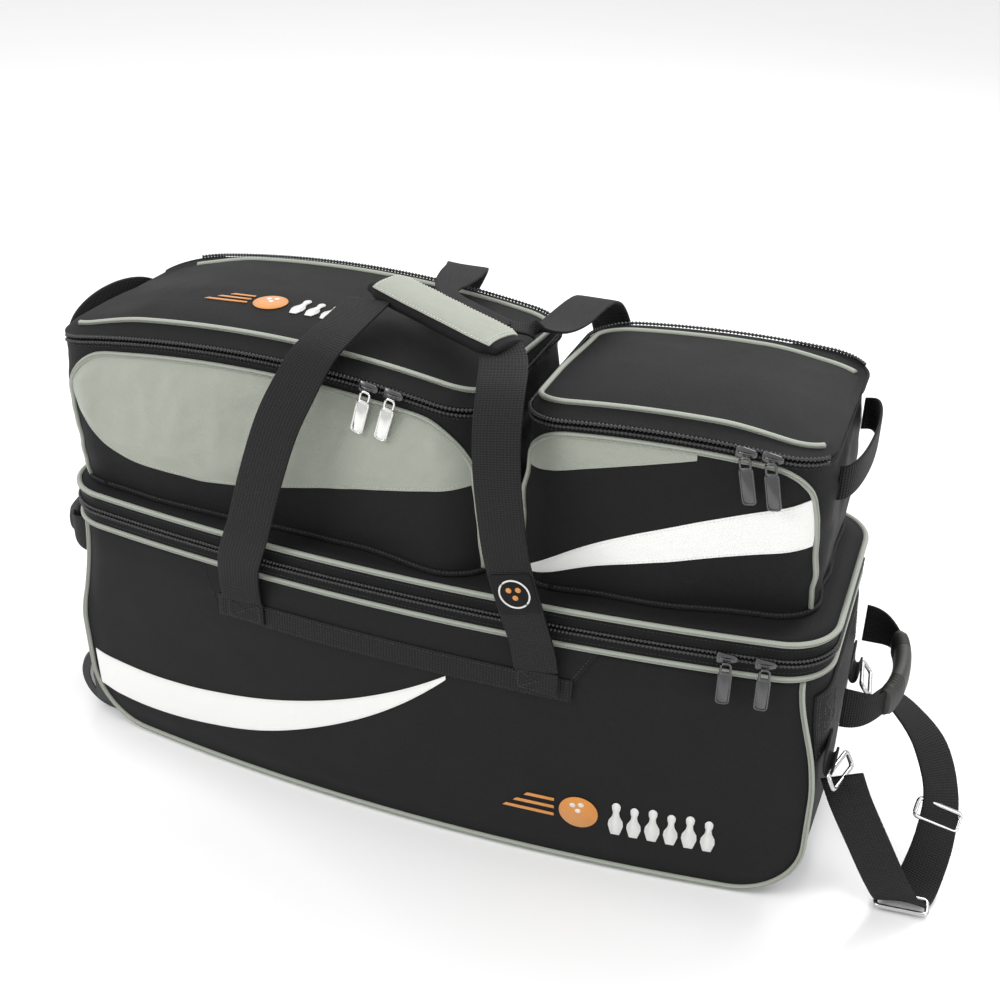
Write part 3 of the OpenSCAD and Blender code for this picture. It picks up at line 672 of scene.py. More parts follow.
def build_rim():
    """Rim bands, piping and band stitches of the case and of the lid."""
    bands = (("case", "case_band", "case_rim_tape", 240,
              ((SEAM_Z - 1, -0.6), (SEAM_Z + 3, 0.6), (SEAM_Z + 8, 0.8),
               (ZIP_Z - 5.5, 0.5), (ZIP_Z - 4.6, 1.2), (ZIP_Z - 0.7, 1.2))),
             ("lid", "lid_band_cloth", "lid_band", 255,
              ((ZIP_Z + 0.7, 1.2), (ZIP_Z + 4.6, 1.2), (ZIP_Z + 5.5, 0.5),
               (LID_Z - 5, 0.8), (LID_Z - 1, 0.6), (LID_Z + 1, -0.6))))
    for body, name, node, middle, rings in bands:
        Shape().grid([rim(g, z) for z, g in rings], wrap_v=True).make(
            name, TAPE, body, "shell_fabric", node, centre=(0, 0, middle), thick=3.0)
    for body, name, node, z in (("case", "rim_piping", (), SEAM_Z + 3),
                                ("lid", "lid_edge_piping", "lid_piping", LID_Z + 0.6)):
        path = rim(0.2, z, 4.0)
        cord = Shape()
        half_cord(path, outward(path), upright(path), 2.5, cord, closed=True)
        cord.make(name, PIPING, body, "piping", node)
    for body, g, z in (("case", 0.9, SEAM_Z + 8.5), ("lid", 0.9, LID_Z - 5.2)):
        path = rim(g, z, 6.0)
        out = outward(path)
        Shape().stitches(np.vstack([path, path[:1]]), np.vstack([out, out[:1]])).make(
            body + "_band_stitches", DARK_THREAD, body, "shell_fabric")


def coil_row(shape, path, out, radius=1.9, pitch=3.2, lean=0.0):
    """One row of a coil zip: a tube that swells at every tooth."""
    path = even(np.hstack([path, out]), pitch / 4)
    line, normal = path[:, :3], unit(path[:, 3:])
    s = np.arange(len(line))
    swell = 0.68 + 0.32 * np.cos(2 * np.pi * (s / 4.0 + lean))
    shape.sweep(line, normal, np.cross(tangents(line, False), normal),
                oval(2, 2, 6)[None] * (radius * swell)[:, None, None])


def zip_run(g, z):
    """The closing zip's line: along the front and both ends, as far as the back corners."""
    path = rim(g, z, 3.0)
    keep = path[:, 1] < -CORNER_Y - 2
    order = np.roll(np.arange(len(path)), -int(np.argmax(~keep)))
    return path[[i for i in order if keep[i]]]


def build_main_zip():
    for body, name, node, z in (("case", "case_zip", "case_zip_coil", ZIP_Z - 2.2),
                                ("lid", "lid_zip", "lid_zip_coil", ZIP_Z + 2.2)):
        path = zip_run(2.0, z)
        row = Shape()
        coil_row(row, path, outward(path, False), lean=0.0 if body == "case" else 0.5)
        row.make(name, COIL, body, "zip_coil", node)


def build_panel_piping():
    cord = Shape()
    for side in (-1, 1):
        path = panel_line(0.4, side, 4.0)
        t = tangents(path, False)
        out = np.broadcast_to(np.array([0.0, side, 0.0]), path.shape)
        sideways = unit(np.cross(t, out))
        half_cord(path, out, sideways, 2.4, cord)
    cord.make("panel_piping", PIPING, "case", "piping", "case_piping")


# ---------------------------------------------------------------- case: what is sewn on it

def on_wall(side):
    """Maps a drawing in X-Z to the front or back panel."""
    return lambda x, z, off: wall_skin(x, z, off, side)


def sheet_between(shape, place, xs, low, high, off, rows=8, thick=0.8):
    """Thin sewn-on cloth over xs between two lines low(x) and high(x); its rim is turned down."""
    def layer(lift):
        return np.array([[place(x, low(x) + (high(x) - low(x)) * (k / rows), lift)
                          for k in range(rows + 1)] for x in xs])

    top = layer(off)
    shape.grid(top).grid([border(top), border(layer(off - thick))], wrap_v=True)


def build_swoosh():
    low_x, rise = -280, 447

    def low(x):
        return 37 + rise - math.sqrt(rise ** 2 - (x - low_x) ** 2)

    def high(x):
        return 41 + 37 * (1 - ((x + 338) / 378) ** 3) + rise - math.sqrt(rise ** 2 - (x - low_x) ** 2)

    xs = np.linspace(-338, 40, 64)
    cut = Shape()
    sheet_between(cut, on_wall(-1), xs, low, high, 1.0)
    cut.make("front_crescent", WHITE, "case", "white_fabric", "front_swoosh", centre=CASE_MIDDLE)
    sew("crescent_stitches", WHITE_THREAD, "case", "white_fabric",
        [([front_point(x, line(x) + inset, 1.1) for x in xs[1:-2]], FRONT, *FINE)
         for line, inset in ((low, 1.6), (high, -1.6))])


STRAP_FEET_X = (-147, 120)


def band_z(x):
    """Height of the ribbed band's middle line."""
    return 192 - 3 * (x + 175) / 325


def build_strap_patches():
    def slant_low(x):
        if x < -180:
            return 181 + 48 * (-180 - x) / 14
        if x > 138:
            return 175 + 54 * (x - 138) / 31
        return 181 - 6 * (x + 180) / 318

    for side, label in ((-1, "front"), (1, "back")):
        place = on_wall(side)
        patch = Shape()
        xs = np.concatenate([np.linspace(-193.5, -180, 6), np.linspace(-174, 132, 60),
                             np.linspace(138, 168, 8)])
        sheet_between(patch, place, xs, slant_low, lambda x: 229.0, 1.4, 10)
        patch.make(label + "_strap_patch", BLACK, "case", "shell_fabric",
                   "strap_patches" if side < 0 else (), centre=CASE_MIDDLE)
        band = Shape()
        path = np.array([place(x, band_z(x), 2.4) for x in np.linspace(-175, 149, 70)])
        t = tangents(path, False)
        out = np.broadcast_to(np.array([0.0, side, 0.0]), path.shape)
        out = unit(out - t * np.sum(out * t, 1, keepdims=True))
        band.sweep(path, np.cross(t, out), out, tape_section(22, 2.2))
        for x in STRAP_FEET_X:
            foot = np.array([place(x, z, 4.6) for z in np.linspace(184, 206, 12)])
            t = tangents(foot, False)
            band.sweep(foot, np.cross(t, out[:12]), np.array([0.0, side, 0.0]) * np.ones((12, 1)),
                       tape_section(37.5))
        band.make(label + "_strap_band", PATCH_WEB, "case", "webbing",
                  "strap_bands" if side < 0 else ())
        sewn = Shape()
        normal = (0, side, 0)
        for dz in (-9, 9):
            sewn.stitches([place(x, band_z(x) + dz, 3.6) for x in np.linspace(-173, 147, 60)], normal)
        edge = even(np.array([(-190, 227), (-176.5, 183.5), (135, 178), (164, 227)], float), 5.0)
        sewn.stitches([place(x, z, 1.6) for x, z in edge], normal)
        for x in STRAP_FEET_X:
            sewn.stitches([place(a, b, 6.1) for a, b in cross_box(x, 15, 186, 203)], normal, 3.0)
        sewn.make(label + "_strap_stitches", DARK_THREAD, "case", "webbing")


def disc(cx, cz, r, count=28):
    a = np.linspace(0, 2 * np.pi, count, endpoint=False)
    return np.stack([cx + r * np.cos(a), cz + r * np.sin(a)], 1)


PIN_PROFILE = [(0.0, 0.16), (0.10, 0.21), (0.28, 0.29), (0.42, 0.27), (0.58, 0.14), (0.70, 0.11),
               (0.80, 0.155), (0.90, 0.165), (0.97, 0.11), (1.0, 0.03)]


def pin_shape(x, z, h):
    """Silhouette of a bowling pin that stands at x, z."""
    right = [(x + w * h * 0.62, z + t * h) for t, w in PIN_PROFILE]
    return np.array(right + [(2 * x - a, b) for a, b in right[::-1]])


def ball_emblem(orange, white, place, x, z, size, pins, step_x):
    """A ball of diameter size above x, z that rolls towards a row of pins, step_x apart."""
    r = size / 2
    orange.plate(disc(x, z + r, r), place, 0.3, 1.0, 0.3)
    for dx, dz in ((-0.30, 0.42), (0.12, 0.52), (-0.02, 0.10)):
        white.plate(disc(x + dx * r, z + r + dz * r, 0.15 * r, 12), place, 0.9, 1.25, 0.15)
    for k in range(3):
        y0 = z + size * (0.22 + 0.25 * k)
        tail = size * (1.35 - 0.28 * k)
        end, y1 = x - r * 1.25, y0 + size * 0.09
        bar = [(end - tail, y0), (end, y0), (end, y1), (end - tail + 3, y1)]
        orange.plate(bar, place, 0.3, 0.95, 0.25)
    for k in range(pins):
        pin = pin_shape(x + r * 1.9 + k * step_x, z, size * (1.06 - 0.06 * (k % 2)))
        white.plate(pin, place, 0.3, 1.0, 0.3)


def build_front_emblem():
    orange, white = Shape(), Shape()
    ball_emblem(orange, white, front_point, 158, 42, 34, 6, 15.5)
    orange.make("front_emblem_ball", ORANGE, "case", "white_fabric")
    white.make("front_emblem_pins", WHITE_THREAD, "case", "white_fabric")


def build_end_patches():
    """Reinforcements of webbing cloth under the end handles, and the tabs that hold the rings."""
    for sign, label in ((1, "right"), (-1, "left")):
        patch = Shape()

        def place(y, z, off):
            return end_point(sign, y, z, 0.6 + off)

        ys = np.linspace(-95, 95, 44)
        sheet_between(patch, place, ys, lambda y: 150.0, lambda y: 210.0, 2.2, 8, thick=2.6)
        patch.make(label + "_end_patch", PATCH_WEB, "case", "webbing",
                   "end_patches" if sign > 0 else (), centre=(0, 0, 180))
        sewn = Shape()
        corners = [(-92, 153), (92, 153), (92, 207), (-92, 207), (-92, 153)]
        frame_line = even(np.array(corners, float), 5.0)
        sewn.stitches([place(y, z, 2.4) for y, z in frame_line], (sign, 0, 0))
        for y in (-72, 72):
            sewn.stitches([place(a, b, 2.5) for a, b in cross_box(y, 13, 170, 200)], (sign, 0, 0), 3.0)
        sewn.make(label + "_end_stitches", DARK_THREAD, "case", "webbing")
    tabs = Shape()
    for y in (-79, 58):
        line = np.array([(END_X + 2.6, y, z) for z in np.linspace(160, 147, 8)])
        loop = np.array([(END_X + 3 + 3.4 * (1 - math.cos(a)), y, 143.5 - 7 * math.sin(a))
                         for a in np.linspace(0, math.pi, 12)])
        tabs.belt(np.vstack([line, loop]), (0, 1, 0), tape_section(33, 2.4))
    tabs.make("ring_tabs", WEB, "case", "webbing")


DIVIDER_TALL = 149


def build_insides():
    """Ball cradles and bay dividers: covered foam."""
    floor_top = FLOOR_Z + 10
    bay, cradle_r = 221, 78
    a = np.linspace(0, 2 * np.pi, 72, endpoint=False)
    for i, label in ((-1, "left"), (0, "middle"), (1, "right")):
        ring = Shape()
        path = np.stack([bay * i + cradle_r * np.cos(a), cradle_r * np.sin(a),
                         np.full(72, floor_top + 11.2)], 1)
        ring.sweep(path, outward(path), upright(path), oval(12, 21.6, 16, 0.6), closed=True)
        piece = ring.make(label + "_cradle", FOAM, "case", "foam", "ball_cradles" if i == 0 else ())
    for i, label in ((-1, "left"), (1, "right")):
        pad = Shape()
        x = i * bay / 2
        round_pad = [(1, t) for t in np.linspace(0, 1, 20)] + [(-1, t) for t in np.linspace(1, 0, 20)]
        rows = []
        for y in np.linspace(-99, 99, 40):
            edge = float(ease((99 - abs(y)) / 14))
            rows.append([(x + s * (0.8 + 1.9 * edge * math.sin(math.pi * np.clip(t, 0.04, 0.96)) ** 0.4),
                          y, floor_top + 0.5 + DIVIDER_TALL * t) for s, t in round_pad])
        pad.grid(rows, wrap_v=True, cap=True)
        piece = pad.make(label + "_divider", LINING, "case", "foam", "bay_dividers" if i == 1 else ())


# ---------------------------------------------------------------- lid and pockets

CROWN_R = 1000


class Pocket:
    """A soft box on the lid with a crowned, zipped top."""

    def __init__(self, key, box, crown_x, panel_top, split, top, hinge, seed):
        self.key, self.box, self.crown_x, self.hinge, self.seed = key, box, crown_x, hinge, seed
        self.panel_top, self.split, self.top = panel_top, split, top
        self.r = 35.0
        self.wx = box[1] - box[0] - 2 * self.r
        self.wy = box[3] - box[2] - 2 * self.r
        self.quarter = self.r * math.pi / 2
        self.round = 2 * (self.wx + self.wy) + 4 * self.quarter

    def crown(self, x, top):
        return top - CROWN_R + math.sqrt(CROWN_R ** 2 - (x - self.crown_x) ** 2)

    def plan(self, s):
        """Point and outward direction at a distance s round the plan, from the left of the front."""
        x0, x1, y0, y1 = self.box
        r, q = self.r, self.quarter
        s %= self.round
        runs = ((self.wx, (x0 + r, y0), (1, 0)), (self.wy, (x1, y0 + r), (0, 1)),
                (self.wx, (x1 - r, y1), (-1, 0)), (self.wy, (x0, y1 - r), (0, -1)))
        centres = ((x1 - r, y0 + r), (x1 - r, y1 - r), (x0 + r, y1 - r), (x0 + r, y0 + r))
        for k, (run, start, way) in enumerate(runs):
            if s <= run:
                return start[0] + way[0] * s, start[1] + way[1] * s, way[1], -way[0]
            s -= run
            if s <= q:
                a = -math.pi / 2 + k * math.pi / 2 + s / r
                cx, cy = centres[k]
                return cx + r * math.cos(a), cy + r * math.sin(a), math.cos(a), math.sin(a)
            s -= q
        return self.plan(0.0)

    def front_s(self, x):
        """Distance round the plan of a point of the front, or of the front's two corners."""
        x0, x1 = self.box[:2]
        if x > x1 - self.r:
            return self.wx + self.r * math.asin(min(1.0, (x - x1 + self.r) / self.r))
        if x < x0 + self.r:
            return -self.r * math.asin(min(1.0, (x0 + self.r - x) / self.r))
        return x - x0 - self.r

    def skin(self, s, z, off=0.0):
        x, y, nx, ny = self.plan(s)
        high = self.crown(x, self.split)
        h = min(1.0, max(0.0, (z - DECK_Z) / (high - DECK_Z)))
        out = 3.4 * math.sin(math.pi * min(1, h * 1.12)) ** 0.8 if h < 0.89 else 0.0
        calm = float(ease((1 - h) / 0.25))
        out += 2.1 * calm * ripple((x, y, z), 62, self.seed)
        out += 0.9 * calm * ripple((x, y, z * 1.6), 24, self.seed + 4)
        out += 2.6 * calm * abs(nx) * ripple((x, y * 0.6, z * 1.3), 26, self.seed + 7)
        out -= 1.6 * (1 - h) ** 6
        p = np.array([x + nx * (out + off), y + ny * (out + off), z])
        fade = (1 - h) ** 1.3
        near = max(0.0, min(1.0, -y / (70 if self.key == "left" else 60)))
        if self.key == "left":
            p[1] -= 17 * fade * float(ease((x + 60) / 110)) * near
            p[0] += 9 * fade * float(ease((x - 20) / 36)) * near
            p[1] += 11 * fade * float(ease((-x - 190) / 130)) * near
        else:
            p[1] += 22 * fade * float(ease((x - 190) / 120)) * near
            p[1] -= 8 * fade * float(ease((165 - x) / 60)) * near
        return p

    def corner_drop(self, x, left, right, r):
        """How far the front panel's rounded upper corners lie below its crown."""
        past = max(left + r - x, x - right + r)
        return r - math.sqrt(max(0.0, r * r - past ** 2)) if past > 0 else 0.0

    def front(self, x, z, off=0.0):
        return self.skin(self.front_s(x), z, off)

    def line(self, z_of, off, step=4.0, first=0.0, last=None):
        """Line round the pocket at height z_of(x), from one distance to another."""
        last = self.round if last is None else last
        return np.array([self.skin(s, z_of(self.plan(s)[0]), off)
                         for s in np.linspace(first, last, int((last - first) / step) + 1)])

    def lid_height(self, x, y):
        """Height of the lid's cloth: it falls towards the back and the hinged end."""
        x0, x1 = self.box[:2]
        z = self.crown(x, self.top) + 1.0 - 8.0 * float(ease((y + 40) / 130))
        hinge_gap = (x - x0 if self.hinge < 0 else x1 - x) - 15
        z -= 5.0 * float(ease(1 - hinge_gap / 70))
        inside = min(x - x0, x1 - x, y - self.box[2], self.box[3] - y) - 17
        return z + 1.3 * ripple((x, y, 0), 62, self.seed + 9) * float(ease(inside / 30))

    def open_run(self):
        """The zip's run, from one end of the hinge wall round the other three sides."""
        if self.hinge < 0:
            return -self.quarter * 0.35, 2 * self.wx + self.wy + 2 * self.quarter + self.quarter * 0.35
        start = self.wx + self.quarter * 0.65
        return start + self.wy + 2 * self.quarter * 0.35, start + self.round


POCKETS = [Pocket("left", (-333, 56, -112, 112), -150, 412, 423, 434, -1, 21.0),
           Pocket("right", (88, 322, -106, 106), 225, 409, 416, 425, 1, 33.0)]


def build_lid_top():
    deck = Shape()
    rings = []
    for k in np.linspace(1.0, 0.02, 26):
        ring = rim(-0.2, DECK_Z, 8.0)
        ring[:, :2] *= k
        for p in ring:
            p[2] = DECK_Z - 2.6 + 2.4 * min(1.0, (1 - k) / 0.04)
            p[2] += 0.5 * ripple(p, 60, 5.0) * min(1, (1 - k) / 0.05)
        rings.append(ring)
    deck.grid(rings, wrap_v=True, last=True)
    deck.make("lid_top", BLACK, "lid", "shell_fabric", "lid_panel", centre=(0, 0, 200), thick=3.4)


def build_pocket(p):
    n = int(p.round / 6)
    rows = []
    for h in np.linspace(0, 1, 30):
        row = []
        for k in range(n):
            s = p.round * k / n
            top = p.crown(p.plan(s)[0], p.split) - 0.8
            row.append(p.skin(s, DECK_Z - 1.5 + (top - DECK_Z + 1.5) * h))
        rows.append(row)
    Shape().grid(rows, wrap_v=True).make(
        p.key + "_pocket", BLACK, "lid", "shell_fabric", p.key + "_pocket_shell",
        centre=((p.box[0] + p.box[1]) / 2, 0, 340), thick=2.6)


def panel_outline(p, left, right, foot, r=36.0):
    """Line of the piping round a pocket's front panel: up, along the crown, and down."""
    out = [(left[0] + (left[1] - left[0]) * t, foot + (p.crown(left[1], p.panel_top) - r - foot) * t)
           for t in np.linspace(0, 1, 16)]
    for a in np.linspace(0, math.pi / 2, 9)[1:]:
        x = left[1] + r * (1 - math.cos(a))
        out.append((x, p.crown(x, p.panel_top) - r * (1 - math.sin(a)) - 2))
    for x in np.linspace(left[1] + r, right[1] - r, 40)[1:-1]:
        out.append((x, p.crown(x, p.panel_top) - 2))
    for a in np.linspace(math.pi / 2, 0, 9):
        x = right[1] - r * (1 - math.cos(a))
        out.append((x, p.crown(x, p.panel_top) - r * (1 - math.sin(a)) - 2))
    out += [(right[1] + (right[0] - right[1]) * t, p.crown(right[1], p.panel_top) - r - 2
             + (foot - p.crown(right[1], p.panel_top) + r + 2) * t) for t in np.linspace(0, 1, 14)[1:]]
    return even(np.array(out), 4.0)


OUTLINES = {"left": ((-322, -318), (53, 47), 270.0), "right": ((93, 94), (318, 312), 270.0)}


def build_pocket_piping():
    cord = Shape()
    for p in POCKETS:
        left, right, foot = OUTLINES[p.key]
        flat = panel_outline(p, left, right, foot, 40.0 if p.key == "left" else 30.0)
        for back in (False, True):
            path = np.array([p.front(x, z) for x, z in flat])
            if back:
                behind = 2 * p.wx + p.wy + 2 * p.quarter
                path[:, 1] = [p.skin(behind - p.front_s(x), z)[1] for x, z in flat]
            t = tangents(path, False)
            nrm = np.array([p.plan(p.front_s(x))[2:] for x, _ in flat])
            out = unit(np.stack([nrm[:, 0], nrm[:, 1] * (-1 if back else 1), 0 * nrm[:, 0]], 1))
            half_cord(path, out, unit(np.cross(t, out)), 2.3, cord)
    cord.make("pocket_panel_piping", PIPING, "lid", "piping", "pocket_piping")


def build_pocket_overlays():
    p = POCKETS[0]

    def low(x):
        drop = 62 * math.exp(-(x + 317) / 17)
        return 300.5 + drop + (45 * ((x + 191) / 241) ** 1.25 if x > -191 else 0)

    def high(x):
        return max(p.crown(x, p.panel_top) - 3 - p.corner_drop(x, -318, 47, 40.0), low(x) + 0.5)

    xs = np.concatenate([np.linspace(-317, -278, 14), np.linspace(-273, 6, 70),
                         np.linspace(10, 46.5, 14)])
    cover = Shape()

    def place(x, z, off):
        inner = float(ease(min(high(x) - z, z - low(x), x + 317, 47 - x) / 16))
        fold = 2.4 * ripple((x, 0, z * 0.45), 30, 40.0)
        fold += 1.3 * ripple((x * 1.3, 0, z - x * 0.5), 17, 44.0)
        return p.front(x, z, off + inner * max(0.0, 1.2 + fold))

    sheet_between(cover, place, xs, low, high, 1.0, 22)
    cover.make("left_silver_panel", SILVER, "lid", "silver_fabric", "left_pocket_overlay",
               centre=(-140, 0, 340))
    sew("left_silver_stitches", PALE_THREAD, "lid", "silver_fabric",
        [([place(x, low(x) + 2.2, 1.15) for x in xs[3:-2]], FRONT, 3.2, 2.2, 0.4)])

    q = POCKETS[1]

    def wedge_low(x):
        return 366 + 36 * ((x - 94) / 140) ** 1.1

    def wedge_high(x):
        return max(q.crown(x, q.panel_top) - 3 - q.corner_drop(x, 94, 312, 30.0), wedge_low(x) + 0.4)

    xs = np.linspace(95, 226, 36)
    cover = Shape()
    sheet_between(cover, q.front, xs, wedge_low, wedge_high, 1.0, 10)
    cover.make("right_silver_wedge", SILVER, "lid", "silver_fabric", "right_pocket_overlay",
               centre=(205, 0, 340))

    def sw_low(x):
        return 274 + 66 * ((max(x, 96) - 96) / 220) ** 0.86

    def sw_high(x):
        return 276 + 106 * ((max(x, 96) - 96) / 220) ** 0.74

    xs = np.linspace(100, 312, 48)
    cut = Shape()
    sheet_between(cut, q.front, xs, sw_low, sw_high, 1.0, 8)
    cut.make("pocket_crescent", WHITE, "lid", "white_fabric", "pocket_swoosh", centre=(205, 0, 340))
    sew("pocket_crescent_stitches", WHITE_THREAD, "lid", "white_fabric",
        [([q.front(x, line(x) + inset, 1.1) for x in xs[2:-1]], FRONT, *FINE)
         for line, inset in ((sw_low, 1.6), (sw_high, -1.6))])


def build_base_binding():
    """A stitched binding where each pocket is sewn to the lid."""
    binding, sewn = Shape(), Shape()
    for p in POCKETS:
        path = p.line(lambda x: DECK_Z + 2.4, 1.6, 4.0)[:-1]
        out = outward(path)
        binding.sweep(path, out, upright(path), oval(4.2, 4.4, 10, 0.7), closed=True)
        sewn.stitches(path + out * 1.6 + UP * 1.9, unit(out + UP), 3.4, 2.2, 0.5)
    binding.make("pocket_base_binding", PATCH_WEB, "lid", "webbing")
    sewn.make("pocket_base_stitches", DARK_THREAD, "lid", "webbing")


def build_pocket_zips():
    coils, seams = Shape(), Shape()
    for p in POCKETS:
        first, last = p.open_run()
        path = p.line(lambda x: p.crown(x, p.split) - 2.2, 1.8, 3.0, first, last)
        coil_row(coils, path, outward(path, False))
        seam = p.line(lambda x: p.crown(x, p.split) - 6.4, 0.3, 5.0)
        seams.stitches(seam, outward(seam, False))
    coils.make("pocket_zip_rows", COIL, "lid", "zip_coil", "pocket_zip_coils")
    seams.make("pocket_zip_stitches", DARK_THREAD, "lid", "shell_fabric")


INSET_X, INSET_Y = 6, 17


def build_pocket_lid(p):
    """The zipped top: a short band, a piped edge and a crowned, slightly puffed panel."""
    cx = (p.box[0] + p.box[1]) / 2
    n = int(p.round / 6)

    def top_point(s, k, lift=0.0):
        x, y, nx, ny = p.plan(s)
        x2, y2 = cx + (x - nx * INSET_X - cx) * k, (y - ny * INSET_Y) * k
        return np.array([x2, y2, p.lid_height(x2, y2) + 3.0 * (1 - k ** 5) + lift])

    def band_point(s, h):
        x, y, nx, ny = p.plan(s)
        low = p.crown(x, p.split) + 0.8
        edge = top_point(s, 1.0)
        slope = max(0.0, (h - 0.22) / 0.78)
        in_x, in_y = (0.4 - (inset + 0.4) * slope for inset in (INSET_X, INSET_Y))
        return np.array([x + nx * in_x, y + ny * in_y, low + (edge[2] - low) * h])

    skin = Shape()
    rows = [[band_point(p.round * k / n, h) for k in range(n)] for h in (0, 0.22, 0.3, 0.5, 0.7, 0.88)]
    rows += [[top_point(p.round * k / n, t) for k in range(n)]
             for t in (1.0, 0.985, 0.96, 0.92, 0.86, 0.78, 0.68, 0.56, 0.42, 0.28, 0.14, 0.05, 0.012)]
    skin.grid(rows, wrap_v=True, last=True)
    skin.make(p.key + "_lid_cloth", BLACK, p.key + "_lid", "shell_fabric", p.key + "_pocket_lid",
              centre=(cx, 0, 380), thick=2.4)
    first, last = p.open_run()
    line = np.array([top_point(s, 1.0, 0.4) for s in np.linspace(first, last, int((last - first) / 4))])
    cord = Shape()
    half_cord(line, outward(line, False), upright(line), 2.3, cord)
    cord.make(p.key + "_lid_piping", PIPING, p.key + "_lid", "piping", p.key + "_lid_trim")
    line = np.array([band_point(s, 0.0) + [0, 0, 1.5]
                     for s in np.linspace(first, last, int((last - first) / 3))])
    row = Shape()
    coil_row(row, line + outward(line, False) * 1.6, outward(line, False), lean=0.5)
    row.make(p.key + "_lid_zip", COIL, p.key + "_lid", "zip_coil")


def build_lid_emblem():
    """The same generic ball and pins on the left pocket's lid."""
    p = POCKETS[0]

    def place(x, y, off):
        return np.array([x, y, p.lid_height(x, y) + 3.0 + off])

    orange, white = Shape(), Shape()
    ball_emblem(orange, white, place, -162, -50, 30, 5, 14)
    orange.make("lid_emblem_ball", ORANGE, "left_lid", "white_fabric")
    white.make("lid_emblem_pins", WHITE_THREAD, "left_lid", "white_fabric")


def build_end_loops():
    loops = Shape()
    for x, side, z, half, rise in ((-333, -1, 374, 74, 24), (322, 1, 382, 66, 8)):
        a = np.linspace(0, math.pi, 40)
        path = np.stack([x + side * (2.5 + 18 * np.sin(a) ** 0.7), -half * np.cos(a),
                         z + rise * np.sin(a)], 1)
        loops.belt(path, UP, tape_section(28))
    loops.make("pocket_grab_loops", WEB, "lid", "webbing", "pocket_end_loops")


# ---------------------------------------------------------------- straps and handles

def strap(shape, stations, widths, thick=2.8, count=90):
    """Flat webbing through stations, each a point and the direction and size of its width."""
    rows = spline(np.hstack([np.asarray(stations, float), np.asarray(widths, float)]), count)
    path, width = rows[:, :3], rows[:, 3:]
    t = tangents(path, False)
    w = width - t * np.sum(width * t, 1, keepdims=True)
    size = np.linalg.norm(width, axis=1)
    w = unit(w)
    shape.sweep(path, w, np.cross(t, w), np.array([tape_section(s, thick) for s in size]))
    return path, w, np.cross(t, w)


LEFT_LEG = [(-147, -139.4, 206), (-147, -142, 228), (-143, -147, 249), (-135, -151, 270), (-127, -153, 291),
            (-113, -153, 338), (-98, -149, 385), (-84, -141, 418), (-75, -126, 440), (-69, -104, 450),
            (-67, -70, 455), (-67, -42, 457)]
RIGHT_LEG = [(120, -139.4, 206), (117, -142, 228), (114, -147, 246), (107, -152, 276), (97, -154, 314),
             (90, -154, 362), (86, -150, 390), (82, -140, 414), (77, -120, 434), (70, -96, 441),
             (62, -76, 443), (51, -62, 446)]
REAR_LEFT = [(-147, 139.4, 206), (-147, 142, 228), (-142, 147, 249), (-132, 151, 270), (-121, 153, 291),
             (-99, 153, 338), (-78, 148, 380), (-62, 139, 410), (-50, 128, 430), (-42, 112, 440),
             (-36, 80, 444), (-32, 50, 446), (-26, 26, 448), (-12, 8, 449), (14, -9, 449), (48, -24, 446)]
REAR_RIGHT = [(120, 139.4, 206), (117, 142, 228), (114, 147, 246), (107, 152, 276), (97, 154, 314),
              (90, 153, 362), (86, 146, 392), (82, 134, 414), (80, 116, 426), (78, 90, 430), (77, 40, 433),
              (76, 4, 438), (71, -15, 443), (49, -24, 446)]
ACROSS = (38, 0, 0)
FOLD = 18.0


def build_carry_straps():
    front = Shape()
    strap(front, LEFT_LEG, [ACROSS] * 12)
    path, w, n = strap(front, RIGHT_LEG, [ACROSS] * 12)
    front.make("front_strap_webbing", WEB, "front_strap", "webbing", "front_carry_strap")
    label_piece(path, w, n)
    rear = Shape()
    tail = [(30, 0, 0), (FOLD * 0.9, FOLD * 0.44, 0), (FOLD * 0.5, FOLD * 0.87, 0),
            (FOLD * 0.37, FOLD * 0.93, 0), (FOLD * 0.3, FOLD * 0.95, 0)]
    strap(rear, REAR_LEFT, [ACROSS] * 11 + tail, count=130)
    strap(rear, REAR_RIGHT, [ACROSS] * 11 + [(30, 0, 0), tail[1], tail[4]], count=130)
    rear.make("rear_strap_webbing", WEB, "rear_strap", "webbing", "rear_carry_strap")


def label_piece(path, w, n):
    """Woven label on the right leg with a plain ring and three dots."""
    heights = path[:, 2]
    mid = int(np.argmin(abs(heights - 284)))
    centre, across = path[mid], w[mid]
    up = unit(path[mid + 3] - path[mid - 3])
    out = n[mid] if n[mid][1] < 0 else -n[mid]

    def place(a, b, off):
        return centre + across * a + up * b + out * (1.4 + off)

    back = Shape()
    back.plate(rounded_box(35, 36, 3), place, 0.0, 0.7, 0.25)
    back.make("strap_label", TAPE, "front_strap", "webbing")
    ring = Shape()
    circle = np.array([place(x, y, 0.9) for x, y in disc(0, 0, 12.5, 40)])
    ring.tube(circle, 0.75, closed=True, sides=6)
    ring.make("label_ring", WHITE_THREAD, "front_strap", "white_fabric")
    dots = Shape()
    for x, y in ((-4, 3.6), (4, 3.6), (0, -3.4)):
        dots.plate(disc(x, y, 2.4, 16), place, 0.6, 1.2, 0.2)
    dots.make("label_dots", ORANGE, "front_strap", "white_fabric")


WRAP_MIDDLE, WRAP_TURN, WRAP_TILT, WRAP_HALF = (-3, -39, 453), -22, 6, 72.5


